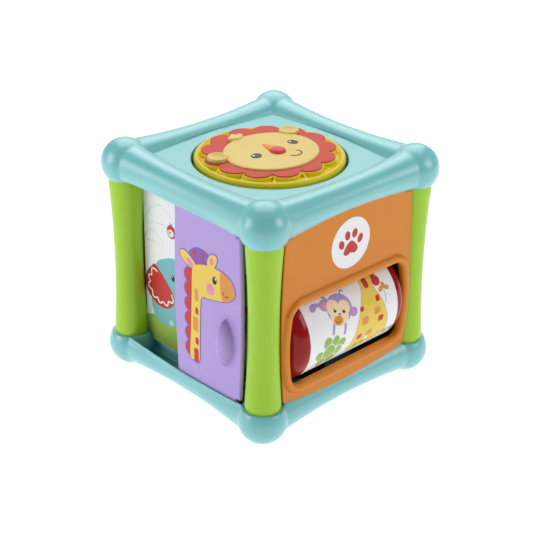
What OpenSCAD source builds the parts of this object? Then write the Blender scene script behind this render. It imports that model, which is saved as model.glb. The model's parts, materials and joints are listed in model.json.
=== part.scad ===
// Baby activity cube: four waisted columns between two moulded frames, with a lion press button on top,
// a picture roller, a sliding door, a mirror spinner and a turning leaf page on its four sides.
// Origin on the floor under the centre, +Z up. The door is on the -Y side and the roller on the +X side.

/* [Frame] */
// Distance between the corner ball centres, across the cube
pitch = 128; // [126:0.5:130]
// Distance between the corner ball centres, up the cube
pitch_up = 129.5; // [128:0.5:132]
// Radius of a corner ball
ball_r = 15.5; // [15.3:0.1:15.8]
// Height of the lower ball centres above the floor
ball_z = 15.25; // [15.1:0.05:15.25]
// Radius of a rail at its middle
rail_r = 9.5; // [9.4:0.1:9.8]
// Growth of a rail's radius from its middle to the ball centre
rail_flare = 4; // [3.6:0.1:4.2]
// Radius of a column at its middle
column_r = 9.4; // [9.2:0.1:9.6]
// Growth of a column's radius from its middle to its end
column_flare = 2.1; // [1.8:0.1:2.2]
// Wall of the hollow rails, balls and columns
wall = 2.3; // [2:0.1:2.5]

/* [Side panels] */
// Distance of a panel's outer face from the cube's centre
panel_face = 71.5; // [71.2:0.1:71.7]
// Thickness of a side panel
panel_t = 2.5; // [2.2:0.1:2.6]
// Half the width of a side panel at its middle
panel_half = 56.3; // [55.5:0.1:56.5]
// How much narrower a panel is at its ends, each side
panel_bow = 2; // [1.5:0.1:2.4]

/* [Roller] */
// Radius of the picture roller over its label
drum_r = 31; // [30:0.5:31]
// Half the length of the label
label_half = 39; // [37:0.5:39]
// Radius of the rounding on a roller cap
cap_round = 9.6; // [8:0.2:10]
// Distance of the roller's axis from the cube's centre
drum_x = 47.5; // [46.5:0.5:47.5]
// Height of the roller's axis
drum_z = 60.5; // [60:0.5:61]
// Radius of the steel roller axle
axle_r = 2; // [1.8:0.1:2.2]
// Height of the window's lower and upper edge
window_z = [34.6, 88.2];
// Half the width of the roller's window
window_half = 49.8; // [49.8:0.1:50]
// Width and height of the raised bead round the window
bead = [6.2, 2.4];

/* [Sliding door] */
// Distance of the door's outer face from the cube's centre
door_face = 72; // [71.8:0.1:72]
// Thickness of the door
door_t = 3.5; // [3:0.1:3.5]
// Half the width of the door at its middle
door_half = 31; // [30:0.5:31]
// How much narrower the door is at its ends, each side
door_bow = 1.7; // [1.4:0.1:1.7]
// Middle of the closed door
door_x = 22.5; // [22:0.5:22.5]
// Travel of the door
door_travel = 41.5; // [36:0.5:41.5]
// Distance of the picture's face from the cube's centre
picture_face = 57.5; // [57.5:0.1:58]

/* [Button] */
// Radius of the button
button_r = 47.5; // [47:0.1:48]
// Gap between the button and its well
button_gap = 1.6; // [1.2:0.1:1.8]
// Height of the top plate above the upper ball centres
plate_rise = 5; // [4.8:0.1:5.2]
// How far the button travels
button_travel = 2.5; // [2:0.1:2.5]
// Number of mane scallops
scallops = 13; // [11:1:15]
// Radius of the button's plunger
plunger_r = 6; // [5.5:0.1:6]

/* [Spinner and page] */
// Number of petals on the spinner
petals = 8; // [6:1:10]
// Radius of the spinner over its petals
petal_tip = 42; // [38:1:44]
// Radius of the collar that the spinner turns on
collar_r = 23; // [22:0.5:24]
// Height of the spinner's axis and of the page's middle
side_z = 80; // [78:1:82]
// Width of the page
page_w = 84; // [76:1:86]
// Height of the page
page_h = 74; // [66:1:76]
// Radius of the page's hinge pin
hinge_r = 1.6; // [1.4:0.1:1.8]

/* [Electronics] */
// Radius of an AAA cell
cell_r = 5.25; // [5:0.05:5.25]
// Length of an AAA cell without its nub
cell_len = 43.3;
// Radius of the speaker
speaker_r = 20; // [16:0.5:20]

/* [Hidden] */
$fn = 96;
half = pitch / 2;
top_z = ball_z + pitch_up;             // upper ball centres
plate_z = top_z + plate_rise;          // top plate's upper face
floor_z = [9, 11.5];                   // lower and upper face of the floor plate
gap = 0.2;                             // moulding clearance between pieces that don't move
run = 0.06;                            // radial clearance of a turning or sliding fit
side_open = 90;                        // turn from the door side to the roller side
col_low = ball_z + 8.8;                // lower end of a column
col_high = top_z - 10;                 // upper end of a column
spigot_r = 6.9;
tongue_half = 48.6;                     // half the width of what stands in a rail's slot
slot_rise = 2;                         // bottom of a slot above its rail's axis
panel_z = [ball_z + slot_rise, top_z - slot_rise];
shoulder_z = [ball_z + 11.6, top_z - 11.6];
well_r = button_r + button_gap;
lip_y = door_face + 0.3;               // inner face of the door track's outer lip
press_z = 138;                         // upper face of the button housing
board_z = 116;                         // upper face of the button's circuit board
boss_xy = 42;                          // housing bosses, from the centre
guide_z = [124, 143];                  // guide tube of the plunger
tier_z = plate_z + 3.4;                // top of the yellow step under the mane
mane_z = tier_z + 0.8;                 // top of the mane
cell_pitch = 10.9;
cell_shift = 2.5;                      // how far a cell's spring pushes it against the plate ahead
cells_x = -26;                         // middle of the battery box
cell_z = 17.6;
speaker_x = 26;
main_board_z = 16;
switch_at = [8, 41];
lead_x = -6;                           // the leads that climb to the button
hinge_at = [46, 74.6];                 // the page's hinge pin
page_t = 2.6;

// ---- shared shapes ----

// A round bar on Z, waisted along a parabola.
module bone(half_len, mid_r, flare) {
    steps = 12;
    rotate_extrude() polygon(concat(
        [[0, -half_len]],
        [for (i = [0:steps]) let (t = 2 * i / steps - 1) [mid_r + flare * t * t, t * half_len]],
        [[0, half_len]]));
}

// A box given by its lowest and highest corners.
module span(low, high) {
    translate(low) cube([for (i = [0:2]) high[i] - low[i]]);
}

// A rectangle on the plane, centred, with round corners.
module soft_rect(w, h, r) {
    square([w - 2 * r, h], center = true);
    square([w, h - 2 * r], center = true);
    for (x = [-1, 1], y = [-1, 1]) translate([x * (w / 2 - r), y * (h / 2 - r)]) circle(r);
}

// A rectangle whose left and right sides bulge outwards along arcs.
module barrel_rect(mid_half, bow, low, high) {
    h = (high - low) / 2;
    arc_r = (h * h + bow * bow) / (2 * bow);
    translate([0, (low + high) / 2]) intersection() {
        square([2 * mid_half, 2 * h], center = true);
        translate([mid_half - arc_r, 0]) circle(arc_r, $fn = 720);
        translate([arc_r - mid_half, 0]) circle(arc_r, $fn = 720);
    }
}

// Turns a shape made for the door side (-Y) to another side: 1 is +X, 2 is +Y, 3 is -X.
module on_side(s) {
    rotate([0, 0, side_open * s]) children();
}

// Stands a flat outline up on the -Y side, its outer face that far from the centre.
module upright(face, t) {
    translate([0, -face + t, 0]) rotate([90, 0, 0]) linear_extrude(t) children();
}

module at_corners() {
    for (x = [-1, 1], y = [-1, 1]) translate([x * half, y * half, 0]) children();
}

module ring(outer, inner, h) {
    difference() {
        cylinder(r = outer, h = h);
        translate([0, 0, -1]) cylinder(r = inner, h = h + 2);
    }
}

// A pan-head screw whose head's underside is at the origin and whose shank goes up.
module screw(head_r, head_h, shank_r, shank_h) {
    difference() {
        translate([0, 0, -head_h]) cylinder(r = head_r, h = head_h);
        for (a = [0, 90]) rotate([0, 0, a]) translate([0, 0, -head_h])
            cube([1.5 * head_r, head_r / 4, head_h], center = true);
    }
    cylinder(r = shank_r, h = shank_h);
}

// ---- frames and columns ----

module column_body(grow) {
    mid = (col_low + col_high) / 2;
    translate([0, 0, mid]) bone((col_high - col_low) / 2, column_r + grow, column_flare);
}

// A rail of the door side, its axis at z = 0.
module rail(shrink) {
    translate([0, -half, 0]) rotate([0, 90, 0]) bone(half, rail_r - shrink, rail_flare);
}

// The slot that a fixed side panel's tongue stands in, measured up from a rail's axis.
module panel_slot() {
    span([-tongue_half - gap, -panel_face - gap, slot_rise - gap],
        [tongue_half + gap, gap - panel_face + panel_t, 20]);
}

// The door's track and the room behind it, open to the inside of the rail.
module door_channel() {
    span([-tongue_half - gap, -lip_y, 0.4], [tongue_half + gap, -picture_face + 0.2, 20]);
    span([-52.2, -lip_y, 9.4], [52.2, -picture_face, 20]);
    span([-52.2, -picture_face - 1, 4], [52.2, -picture_face + 3.4, 20]);
}

// Radius that clears a ball beyond a cut at that height from its centre.
function mouth_r(cut) = sqrt(ball_r * ball_r - cut * cut) + 0.15;

// One frame's rails and corner balls round z = 0, hollow, the balls open upwards at the cut.
module skeleton(cut) {
    difference() {
        union() {
            for (s = [0:3]) on_side(s) rail(0);
            at_corners() sphere(ball_r);
        }
        for (s = [0:3]) on_side(s) rail(wall);
        at_corners() {
            sphere(ball_r - wall);
            translate([0, 0, cut]) cylinder(r = mouth_r(cut), h = 20);
        }
        door_channel();
        for (s = [1:3]) on_side(s) panel_slot();
    }
    at_corners() spigot(cut);
}

// The plug that a column's end slides over, tied to its ball's wall by a disc.
module spigot(cut) {
    translate([0, 0, cut - wall]) cylinder(r = mouth_r(cut) - 0.5, h = wall);
    translate([0, 0, cut - 0.1]) cylinder(r = spigot_r, h = 10);
}

module top_frame() color("paleturquoise") {
    translate([0, 0, top_z]) mirror([0, 0, 1]) skeleton(top_z - col_high);
    difference() {
        translate([0, 0, plate_z - 2.6]) linear_extrude(2.6) square(2 * half - 14, center = true);
        translate([0, 0, plate_z - 5]) cylinder(r = well_r, h = 10);
        at_corners() translate([0, 0, top_z]) sphere(ball_r - 1);
    }
    translate([0, 0, press_z + gap]) ring(well_r + 2, well_r, plate_z - press_z - 1);
    for (x = [-boss_xy, boss_xy], y = [-boss_xy, boss_xy]) translate([x, y, press_z])
        ring(3.6, 1.3, plate_z - press_z - 1);
}

module bottom_frame() color("paleturquoise") {
    difference() {
        union() {
            translate([0, 0, ball_z]) skeleton(col_low - ball_z);
            at_corners() translate([0, 0, 5]) cylinder(r = 6.6, h = col_low - 5);
        }
        at_corners() {
            translate([0, 0, -1]) cylinder(r = 4.3, h = 9);
            cylinder(r = 1.8, h = 60);
        }
    }
    // track rib that the door slides on
    span([-48, -lip_y + 1.4, 8.4], [48, -lip_y + 3, panel_z[0]]);
    difference() {
        union() {
            translate([0, 0, floor_z[0]]) linear_extrude(floor_z[1] - floor_z[0])
                square(2 * half - 13, center = true);
            for (x = [-34, 24], y = [33, 49]) translate([x, y, floor_z[1] - 0.1])
                cylinder(r = 2, h = main_board_z - floor_z[1] - 1.5);
            translate([cells_x, -33, floor_z[1] - 0.1]) cylinder(r = 3.4, h = 6);
        }
        at_corners() translate([0, 0, ball_z]) sphere(ball_r - 1);
        // battery opening
        span([cells_x - 17, -26, 5], [cells_x + 17, 26, 14]);
        span([cells_x - 5, -38, 5], [cells_x + 5, -20, 10.4]);
        translate([cells_x, -33, 5]) cylinder(r = 1.2, h = 11);
        // speaker grille
        for (ring_r = [0, 5, 10, 15], k = [0:max(0, ring_r * 1.2 - 1)])
            translate([speaker_x, 0, 5]) rotate([0, 0, k * 360 / max(1, ring_r * 1.2)])
                translate([ring_r, 0, 0]) cylinder(r = 1.3, h = 10);
        // slot of the power switch
        span([switch_at[0] - 5, switch_at[1] - 2, 5], [switch_at[0] + 5, switch_at[1] + 2, 14]);
    }
}

module column() color("yellowgreen") {
    difference() {
        column_body(0);
        difference() {
            translate([0, 0, col_low - 1]) cylinder(r = spigot_r + 0.05, h = col_high - col_low + 2);
            translate([0, 0, col_low + 12]) cylinder(r = 8, h = 6);
        }
        translate([0, 0, col_low]) cylinder(r = 1.35, h = 30);
    }
}

module column_front() translate([half, -half, 0]) column();
module column_left() translate([-half, -half, 0]) column();
module column_right() translate([half, half, 0]) column();
module column_back() translate([-half, half, 0]) column();

module corner_screws() color("silver") {
    at_corners() translate([0, 0, 8]) screw(3.4, 2.2, 1.35, 32);
}

module foot_pads() color("gray") {
    at_corners() cylinder(r = 4.2, h = 5.4);
}

// ---- fixed side panels ----

// A side panel for the -Y side, clear of the balls and the columns beside it, with a tongue above and
// below that stands in the rails' slots.
module panel_plate() {
    difference() {
        upright(panel_face, panel_t) {
            barrel_rect(panel_half, panel_bow, shoulder_z[0], shoulder_z[1]);
            translate([-tongue_half, panel_z[0]]) square([2 * tongue_half, panel_z[1] - panel_z[0]]);
        }
        at_corners() {
            for (z = [ball_z, top_z]) translate([0, 0, z]) sphere(ball_r + gap);
            column_body(0.4);
        }
    }
}

module window_outline(grow) {
    h = window_z[1] - window_z[0];
    translate([0, (window_z[0] + window_z[1]) / 2])
        soft_rect(2 * (window_half + grow), h + 2 * grow, 6 + grow);
}

module roller_panel() color("peru") on_side(1) {
    difference() {
        union() {
            panel_plate();
            upright(panel_face + bead[1], bead[1] + 0.1) window_outline(bead[0] - 0.6);
        }
        upright(panel_face + 10, 20) window_outline(0);
    }
}

module panel_sticker() color("white") on_side(1) {
    translate([0, -panel_face, 116.4]) rotate([90, 0, 0]) cylinder(r = 16.5, h = 0.25);
}

// Holds one end of the roller's axle, standing on the panel's back.
module drum_bracket() {
    back = panel_face - panel_t;
    difference() {
        union() {
            span([drum_x - 8, 50.6, drum_z - 9], [back, 53, drum_z + 9]);
            span([back - 2, 50.6, drum_z - 14], [back, 54, drum_z + 14]);
            translate([drum_x, 50.2, drum_z]) rotate([-90, 0, 0]) cylinder(r = 5, h = 3.6);
        }
        translate([drum_x, 49, drum_z]) rotate([-90, 0, 0]) cylinder(r = axle_r + 0.02, h = 6);
    }
}

module drum_bracket_page_side() color("peru") drum_bracket();
module drum_bracket_door_side() color("peru") mirror([0, 1, 0]) drum_bracket();

module bracket_screws() color("silver") {
    for (y = [-52.3, 52.3], z = [-11.5, 11.5]) translate([panel_face - panel_t - 2, y, drum_z + z])
        rotate([0, -90, 0]) cylinder(r = 1.6, h = 1.2);
}

// ---- roller ----

module on_drum_axis() {
    translate([drum_x, 0, drum_z]) rotate([-90, 0, 0]) children();
}

module drum_axle() color("silver") on_drum_axis() {
    translate([0, 0, -53.6]) cylinder(r = axle_r, h = 107.2);
}

module drum_tube() color("white") on_drum_axis() {
    translate([0, 0, -label_half]) ring(drum_r - 0.4, drum_r - 2, 2 * label_half);
}

module drum_label() color("whitesmoke") on_drum_axis() {
    translate([0, 0, 0.3 - label_half]) ring(drum_r, drum_r - 0.4, 2 * label_half - 0.6);
}

// A roller cap on Z from the label's end outwards: rounded shell, plug and hub.
module drum_cap() {
    tip = label_half + cap_round + 0.4;
    rotate_extrude() difference() {
        union() {
            translate([0, label_half]) square([drum_r - cap_round, tip - label_half]);
            translate([0, label_half]) square([drum_r, tip - label_half - cap_round]);
            intersection() {
                translate([drum_r - cap_round, tip - cap_round]) circle(cap_round);
                translate([0, label_half]) square(60);
            }
            translate([drum_r - 3.6, label_half - 6]) square([1.55, 6.1]);
        }
        translate([0, label_half - 10]) square([drum_r - cap_round, tip - label_half + 8]);
        translate([drum_r - cap_round - 0.1, label_half - 10])
            square([cap_round - 3.5, 10 + tip - cap_round - label_half]);
        translate([drum_r - cap_round - 0.1, tip - cap_round]) circle(cap_round - 2.2);
        translate([-1, 0]) square([1 + axle_r + run, 2 * tip]);
    }
    rotate_extrude() translate([axle_r + run, tip - 16]) square([3.4, 15.9]);
}

module drum_cap_page_side() color("crimson") on_drum_axis() drum_cap();
module drum_cap_door_side() color("crimson") on_drum_axis() mirror([0, 0, 1]) drum_cap();

module rattle_beads() color("gold") {
    rest = drum_r - 2 - 3.6;
    for (k = [-3:3]) translate([drum_x, 9 * k, drum_z])
        rotate([0, 7 * (k % 2), 0]) translate([0, 0, -rest]) sphere(3.5);
}

// ---- sliding door and the picture behind it ----

module picture_panel() color("white") {
    face = picture_face - 0.3;
    difference() {
        upright(face, 2.1) {
            barrel_rect(56, panel_bow, shoulder_z[0], shoulder_z[1]);
            translate([-52, ball_z + 4.2]) square([104, pitch_up - 8.7]);
        }
        at_corners() {
            for (z = [ball_z, top_z]) translate([0, 0, z]) sphere(ball_r + gap);
            column_body(0.4);
        }
    }
}

module picture_label() color("lightcyan") {
    upright(picture_face, 0.3) translate([0, 79.8]) soft_rect(100, 118, 3);
}

// The leaf-shaped ridge that a finger pushes the door with.
module door_grip() {
    tall = 16.5;
    wide = 7;
    high = 7;
    leaf_r = (tall * tall + wide * wide) / (2 * wide);
    arch_r = (tall * tall + high * high) / (2 * high);
    translate([40, -door_face, 61.8]) intersection() {
        rotate([90, 0, 0]) linear_extrude(high + 1) intersection() {
            translate([leaf_r - wide, 0]) circle(leaf_r);
            translate([wide - leaf_r, 0]) circle(leaf_r);
        }
        translate([-wide, arch_r - high, 0]) rotate([0, 90, 0]) cylinder(r = arch_r, h = 2 * wide);
        translate([0, 0, -tall]) linear_extrude(2 * tall)
            polygon([[-wide - 1, 0.5], [0, -high - 0.4], [wide + 1, 0.5]]);
    }
}

module sliding_door() color("plum") {
    upright(door_face, door_t) translate([door_x, 0]) {
        barrel_rect(door_half, door_bow, ball_z + 9.8, top_z - 9.8);
    }
    // tongue, which meets the slots' ends when the door is closed or open
    span([door_travel - tongue_half, -door_face, panel_z[0] + gap],
        [tongue_half, door_t - door_face, panel_z[1] - gap]);
    door_grip();
}

module door_picture() color("khaki") {
    upright(door_face + 0.15, 0.15) translate([16.4, 69]) soft_rect(32, 88, 14);
}

// ---- lion button ----

module scallop_outline(grow) {
    circle(34);
    for (k = [0:scallops - 1]) {
        a = 2.5 + 360 * k / scallops;
        translate([28.8 * cos(a), 31.4 * sin(a)]) circle(12 + grow);
    }
}

module button_disc() color("gold") {
    deck = plate_z + 1.6;
    rim = 2.6;
    skirt_z = press_z + button_travel + 0.5;
    difference() {
        union() {
            // deck, skirt and round rim
            rotate_extrude() difference() {
                union() {
                    translate([0, skirt_z]) square([button_r - rim, deck - skirt_z]);
                    translate([0, skirt_z]) square([button_r, deck - skirt_z + 0.8 - rim]);
                    translate([button_r - rim, deck + 0.8 - rim]) circle(rim);
                }
                translate([0, press_z]) square([button_r - 1.8, deck - press_z - 2]);
            }
            translate([0, 0, deck - 0.1]) linear_extrude(tier_z - deck + 0.1) scallop_outline(0.5);
            translate([0, 0, guide_z[0] - 0.3]) cylinder(r = plunger_r, h = deck - guide_z[0]);
        }
        translate([0, 0, guide_z[0] - 1]) cylinder(r = 1.4, h = 14);
        translate([0, 0, guide_z[0] + 12]) cylinder(r = 3.6, h = 12);
    }
}

module mane_plate() color("indianred") {
    translate([0, 0, tier_z]) linear_extrude(mane_z - tier_z) scallop_outline(-0.3);
}

module nose_outline(grow) {
    hull() {
        translate([-3.6, 0]) circle(1 + grow, $fn = 32);
        for (s = [-1, 1]) translate([7.6, 2.4 * s]) circle(2.6 + grow, $fn = 32);
    }
}

module lion_face() color("wheat") {
    crown = mane_z + 2.8;
    dome_r = 340;
    difference() {
        union() {
            intersection() {
                translate([2.9, 0, mane_z]) linear_extrude(5) {
                    for (s = [-1, 1]) translate([0, 3.4 * s]) circle(30.2);
                    square([60.4, 6.8], center = true);
                }
                translate([2.9, 0, crown - dome_r]) sphere(dome_r, $fn = 360);
            }
            for (s = [-1, 1]) translate([-12.3, 32.6 * s, mane_z]) cylinder(r = 6.4, h = 2.3);
            for (y = [-3.4, 0, 3.4]) translate([-29 + abs(y) / 3, y, mane_z]) cylinder(r = 2.4, h = 2.2);
        }
        translate([0, 0, crown - 1.4]) linear_extrude(5) nose_outline(0.05);
    }
}

module lion_nose() color("coral") {
    translate([0, 0, mane_z + 1.4]) linear_extrude(3) nose_outline(0);
}

module button_washer() color("silver") {
    translate([0, 0, guide_z[0] - 1.5]) ring(8, 1.4, 1.2);
}

module button_screw() color("silver") {
    translate([0, 0, guide_z[0] - 1.5]) screw(3.2, 1.6, 1.35, 12);
}

module button_housing() color("white") {
    difference() {
        union() {
            translate([0, 0, press_z - 2.2]) cylinder(r = well_r + 2, h = 2.2);
            for (a = [45:90:315]) rotate([0, 0, a]) {
                span([40, -5, press_z - 2.2], [boss_xy * sqrt(2), 5, press_z]);
                translate([boss_xy * sqrt(2), 0, press_z - 2.2]) cylinder(r = 5, h = 2.2);
            }
            translate([0, 0, guide_z[0]]) cylinder(r = 8.2, h = guide_z[1] - guide_z[0]);
            for (a = [90, 210, 330]) rotate([0, 0, a]) translate([16.5, 0, board_z])
                cylinder(r = 2, h = press_z - board_z - 1);
        }
        translate([0, 0, guide_z[0] - 1]) cylinder(r = plunger_r + run, h = 30);
        for (a = [45:90:315]) rotate([0, 0, a]) translate([boss_xy * sqrt(2), 0, press_z - 5])
            cylinder(r = 1.5, h = 10);
    }
}

module housing_screws() color("silver") {
    for (a = [45:90:315]) rotate([0, 0, a]) translate([boss_xy * sqrt(2), 0, press_z - 2.2])
        screw(2.9, 1.8, 1.25, 9);
}

// A round wire swept along a helix on Z.
module coil(turns, mean_r, wire_r, low, high) {
    sides = 8;
    steps = 22;
    n = turns * steps;
    points = [for (i = [0:n], j = [0:sides - 1])
        let (a = 360 * i / steps, b = 360 * j / sides, r = mean_r + wire_r * cos(b),
            z = low + wire_r + (high - low - 2 * wire_r) * i / n)
        [r * cos(a), r * sin(a), z + wire_r * sin(b)]];
    faces = concat(
        [for (i = [0:n - 1], j = [0:sides - 1]) let (k = (j + 1) % sides)
            [i * sides + j, i * sides + k, (i + 1) * sides + k, (i + 1) * sides + j]],
        [[for (j = [sides - 1:-1:0]) j]],
        [[for (j = [0:sides - 1]) n * sides + j]]);
    polyhedron(points, faces);
}

module button_spring() color("silver") {
    coil(4, 10.5, 0.6, press_z + 0.05, plate_z - 0.5);
}

module button_board() color("seagreen") {
    translate([0, 0, board_z - 1.6]) cylinder(r = 20, h = 1.6);
}

module switch_dome() color("dimgray") {
    translate([0, 0, board_z]) cylinder(r1 = 5.5, r2 = 3, h = 2.6);
    translate([0, 0, board_z + 2.6]) cylinder(r = 3, h = guide_z[0] - 3.2 - board_z - 2.6);
}

// ---- mirror spinner ----

module on_spinner_axis() {
    translate([-panel_face, 0, side_z]) rotate([0, -90, 0]) children();
}

module mirror_panel() color("gold") {
    on_side(3) panel_plate();
    on_spinner_axis() translate([0, 0, -0.1]) ring(collar_r, collar_r - 2, 4.7);
}

module petal_ring() color("mediumpurple") on_spinner_axis() translate([0, 0, 0.4]) {
    lobe_r = petal_tip * 0.27;
    lobe_at = petal_tip - lobe_r;
    difference() {
        linear_extrude(3.6) {
            circle(lobe_at + 2);
            for (k = [0:petals - 1]) rotate(360 * k / petals) translate([lobe_at, 0]) circle(lobe_r);
        }
        translate([0, 0, -1]) cylinder(r = collar_r + run, h = 6);
        for (k = [0:petals - 1]) rotate([0, 0, 360 * k / petals])
            translate([lobe_at + 0.6, 0, 2]) cylinder(r = lobe_r * 0.45, h = 3);
    }
}

module mirror_bezel() color("paleturquoise") on_spinner_axis() {
    difference() {
        union() {
            translate([0, 0, 4.6]) cylinder(r = collar_r + 3, h = 2);
            cylinder(r = collar_r - 2.05, h = 4.7);
        }
        translate([0, 0, 5.4]) cylinder(r = collar_r - 1, h = 3);
        translate([0, 0, -1]) cylinder(r = collar_r - 4, h = 4.6);
    }
}

module mirror_disc() color("lightgray") on_spinner_axis() {
    translate([0, 0, 5.4]) cylinder(r = collar_r - 1.1, h = 0.8);
}

// ---- leaf page ----

module knuckle(low, high, bore) {
    translate([hinge_at[0], hinge_at[1], low]) ring(3, bore, high - low);
}

module page_panel() color("lightcoral") {
    difference() {
        union() {
            on_side(2) panel_plate();
            for (z = [side_z - 28, side_z + 16]) {
                knuckle(z, z + 12, hinge_r + 0.02);
                span([hinge_at[0] - 0.2, panel_face - 0.1, z],
                    [hinge_at[0] + 3, hinge_at[1] - 2, z + 12]);
            }
        }
        for (z = [side_z - 28, side_z + 16]) translate([hinge_at[0], hinge_at[1], z - 1])
            cylinder(r = hinge_r + 0.02, h = 14);
    }
}

module page_leaf() color("yellowgreen") {
    difference() {
        union() {
            translate([hinge_at[0] - 4 - page_w / 2, hinge_at[1] + page_t / 2, side_z])
                rotate([90, 0, 0]) linear_extrude(page_t) soft_rect(page_w, page_h, 10);
            translate([hinge_at[0], hinge_at[1], side_z - 15.6]) cylinder(r = 3, h = 31.2);
            span([hinge_at[0] - 5, hinge_at[1] - page_t / 2, side_z - 15.6],
                [hinge_at[0], hinge_at[1] + page_t / 2, side_z + 15.6]);
        }
        translate([hinge_at[0], hinge_at[1], side_z - 20]) cylinder(r = hinge_r + run, h = 40);
    }
}

module hinge_pin() color("silver") {
    translate([hinge_at[0], hinge_at[1], side_z - 28]) cylinder(r = hinge_r, h = 56);
}

module page_picture() color("lightyellow") on_side(2) {
    upright(panel_face + 0.3, 0.3) translate([4, side_z]) soft_rect(76, 66, 8);
}

// ---- batteries, speaker and board ----

module battery_box() color("white") {
    difference() {
        span([cells_x - 18.6, -27.6, floor_z[1]], [cells_x + 18.6, 27.6, 25.2]);
        span([cells_x - 17, -26, floor_z[1] - 1], [cells_x + 17, 26, 23.6]);
    }
}

module battery_cells() color("darkorange") {
    for (k = [-1, 0, 1]) translate([cells_x + cell_pitch * k, 0, cell_z]) rotate([k == 0 ? 90 : -90, 0, 0]) {
        translate([0, 0, cell_shift - cell_len / 2]) cylinder(r = cell_r, h = cell_len);
        translate([0, 0, cell_shift + cell_len / 2 - 0.1]) cylinder(r = 1.9, h = 1.1);
    }
}

module battery_contacts() color("silver") {
    for (s = [-1, 1], k = [-1, 0, 1])
        translate([cells_x + cell_pitch * k, s * 25.7, cell_z]) {
            cube([9, 0.5, 9], center = true);
            if ((k == 0 ? -s : s) < 0)
                rotate([90 * s, 0, 0]) cylinder(r1 = 3.2, r2 = 1.8, h = 25.3 + cell_shift - cell_len / 2);
        }
}

module battery_door() color("paleturquoise") {
    difference() {
        union() {
            span([cells_x - 16.7, -25.7, floor_z[0]], [cells_x + 16.7, 25.7, floor_z[1] - 0.3]);
            span([cells_x - 4.7, -37.6, floor_z[0]], [cells_x + 4.7, -25, 10.2]);
        }
        translate([cells_x, -33, 5]) cylinder(r = 1.5, h = 10);
    }
}

module battery_door_screw() color("silver") {
    translate([cells_x, -33, floor_z[0]]) screw(2.9, 1.6, 1.15, 7);
}

module speaker_frame() color("dimgray") {
    translate([speaker_x, 0, floor_z[1]]) {
        ring(speaker_r, speaker_r - 2.4, 2.2);
        translate([0, 0, 2.2]) difference() {
            cylinder(r1 = speaker_r - 1, r2 = 10, h = 5);
            translate([0, 0, -0.01]) cylinder(r1 = speaker_r - 2.4, r2 = 8.6, h = 5.02);
        }
    }
}

module speaker_cone() color("black") {
    translate([speaker_x, 0, floor_z[1] + 0.5]) difference() {
        cylinder(r1 = speaker_r - 2.6, r2 = 7.5, h = 5);
        translate([0, 0, -0.6]) cylinder(r1 = speaker_r - 2.6, r2 = 7.5, h = 5);
    }
}

module speaker_magnet() color("silver") {
    translate([speaker_x, 0, floor_z[1] + 7.2]) cylinder(r = 10.5, h = 4.5);
}

module main_board() color("seagreen") {
    span([-40, 30.5, main_board_z - 1.6], [30, 51.5, main_board_z]);
}

module board_parts() color("black") {
    translate([-24, 41, main_board_z]) cylinder(r = 5, h = 1.4);
    translate([16, 45, main_board_z]) cylinder(r = 3, h = 7);
    span([-4, 47, main_board_z], [6, 50.5, main_board_z + 4]);
    span([switch_at[0] - 6, switch_at[1] - 3, floor_z[1] + 0.7],
        [switch_at[0] + 6, switch_at[1] + 3, main_board_z - 1.6]);
}

module power_switch() color("white") {
    translate([switch_at[0] - 2, switch_at[1], 0]) {
        span([-2.2, -1.8, floor_z[0] - 1.2], [2.2, 1.8, floor_z[1] + 0.5]);
    }
}

// Two wires from the main board up to the button's board.
module button_lead() color("red") {
    bend = 8;
    rise = board_z + 1.2 - bend;
    for (x = [lead_x, lead_x + 2.4]) translate([x, 44, 0]) {
        translate([0, 0, main_board_z]) cylinder(r = 0.8, h = rise - main_board_z, $fn = 24);
        translate([0, -bend, rise]) rotate([0, 0, 90]) rotate([90, 0, 0])
            rotate_extrude(angle = 90) translate([bend, 0]) circle(0.8, $fn = 24);
        translate([0, -bend, rise + bend]) rotate([90, 0, 0]) cylinder(r = 0.8, h = 30, $fn = 24);
    }
}

module battery_lead() color("black") {
    for (x = [-30, -27.6]) translate([x, 27.6, main_board_z + 0.9])
        rotate([-90, 0, 0]) cylinder(r = 0.8, h = 6, $fn = 24);
}

module speaker_lead() color("red") {
    for (x = [speaker_x - 10.4, speaker_x - 8]) translate([x, 12.8, main_board_z + 0.9])
        rotate([-90, 0, 0]) cylinder(r = 0.8, h = 20.2, $fn = 24);
}

top_frame();
bottom_frame();
column_front();
column_left();
column_right();
column_back();
corner_screws();
foot_pads();
roller_panel();
panel_sticker();
drum_bracket_door_side();
drum_bracket_page_side();
bracket_screws();
drum_axle();
drum_tube();
drum_label();
drum_cap_door_side();
drum_cap_page_side();
rattle_beads();
picture_panel();
picture_label();
sliding_door();
door_picture();
button_disc();
mane_plate();
lion_face();
lion_nose();
button_screw();
button_washer();
button_housing();
housing_screws();
button_spring();
button_board();
switch_dome();
mirror_panel();
petal_ring();
mirror_bezel();
mirror_disc();
page_panel();
page_leaf();
hinge_pin();
page_picture();
battery_box();
battery_cells();
battery_contacts();
battery_door();
battery_door_screw();
speaker_frame();
speaker_cone();
speaker_magnet();
main_board();
board_parts();
power_switch();
button_lead();
battery_lead();
speaker_lead();
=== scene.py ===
"""The looks of a baby activity cube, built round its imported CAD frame.

Shapes are worked out in millimetres and turned into metres when a mesh is made. +Z is up, the picture
roller faces +X, the sliding door -Y, the leaf page +Y and the mirror spinner -X. Most pieces are
distance fields, negative inside, meshed by surface_of(); printed pictures are thin skins cut into
one patch per ink by printed_skin().
"""

import json
import math

import bmesh
import bpy
import numpy as np
from mathutils import Matrix, Vector, geometry


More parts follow.
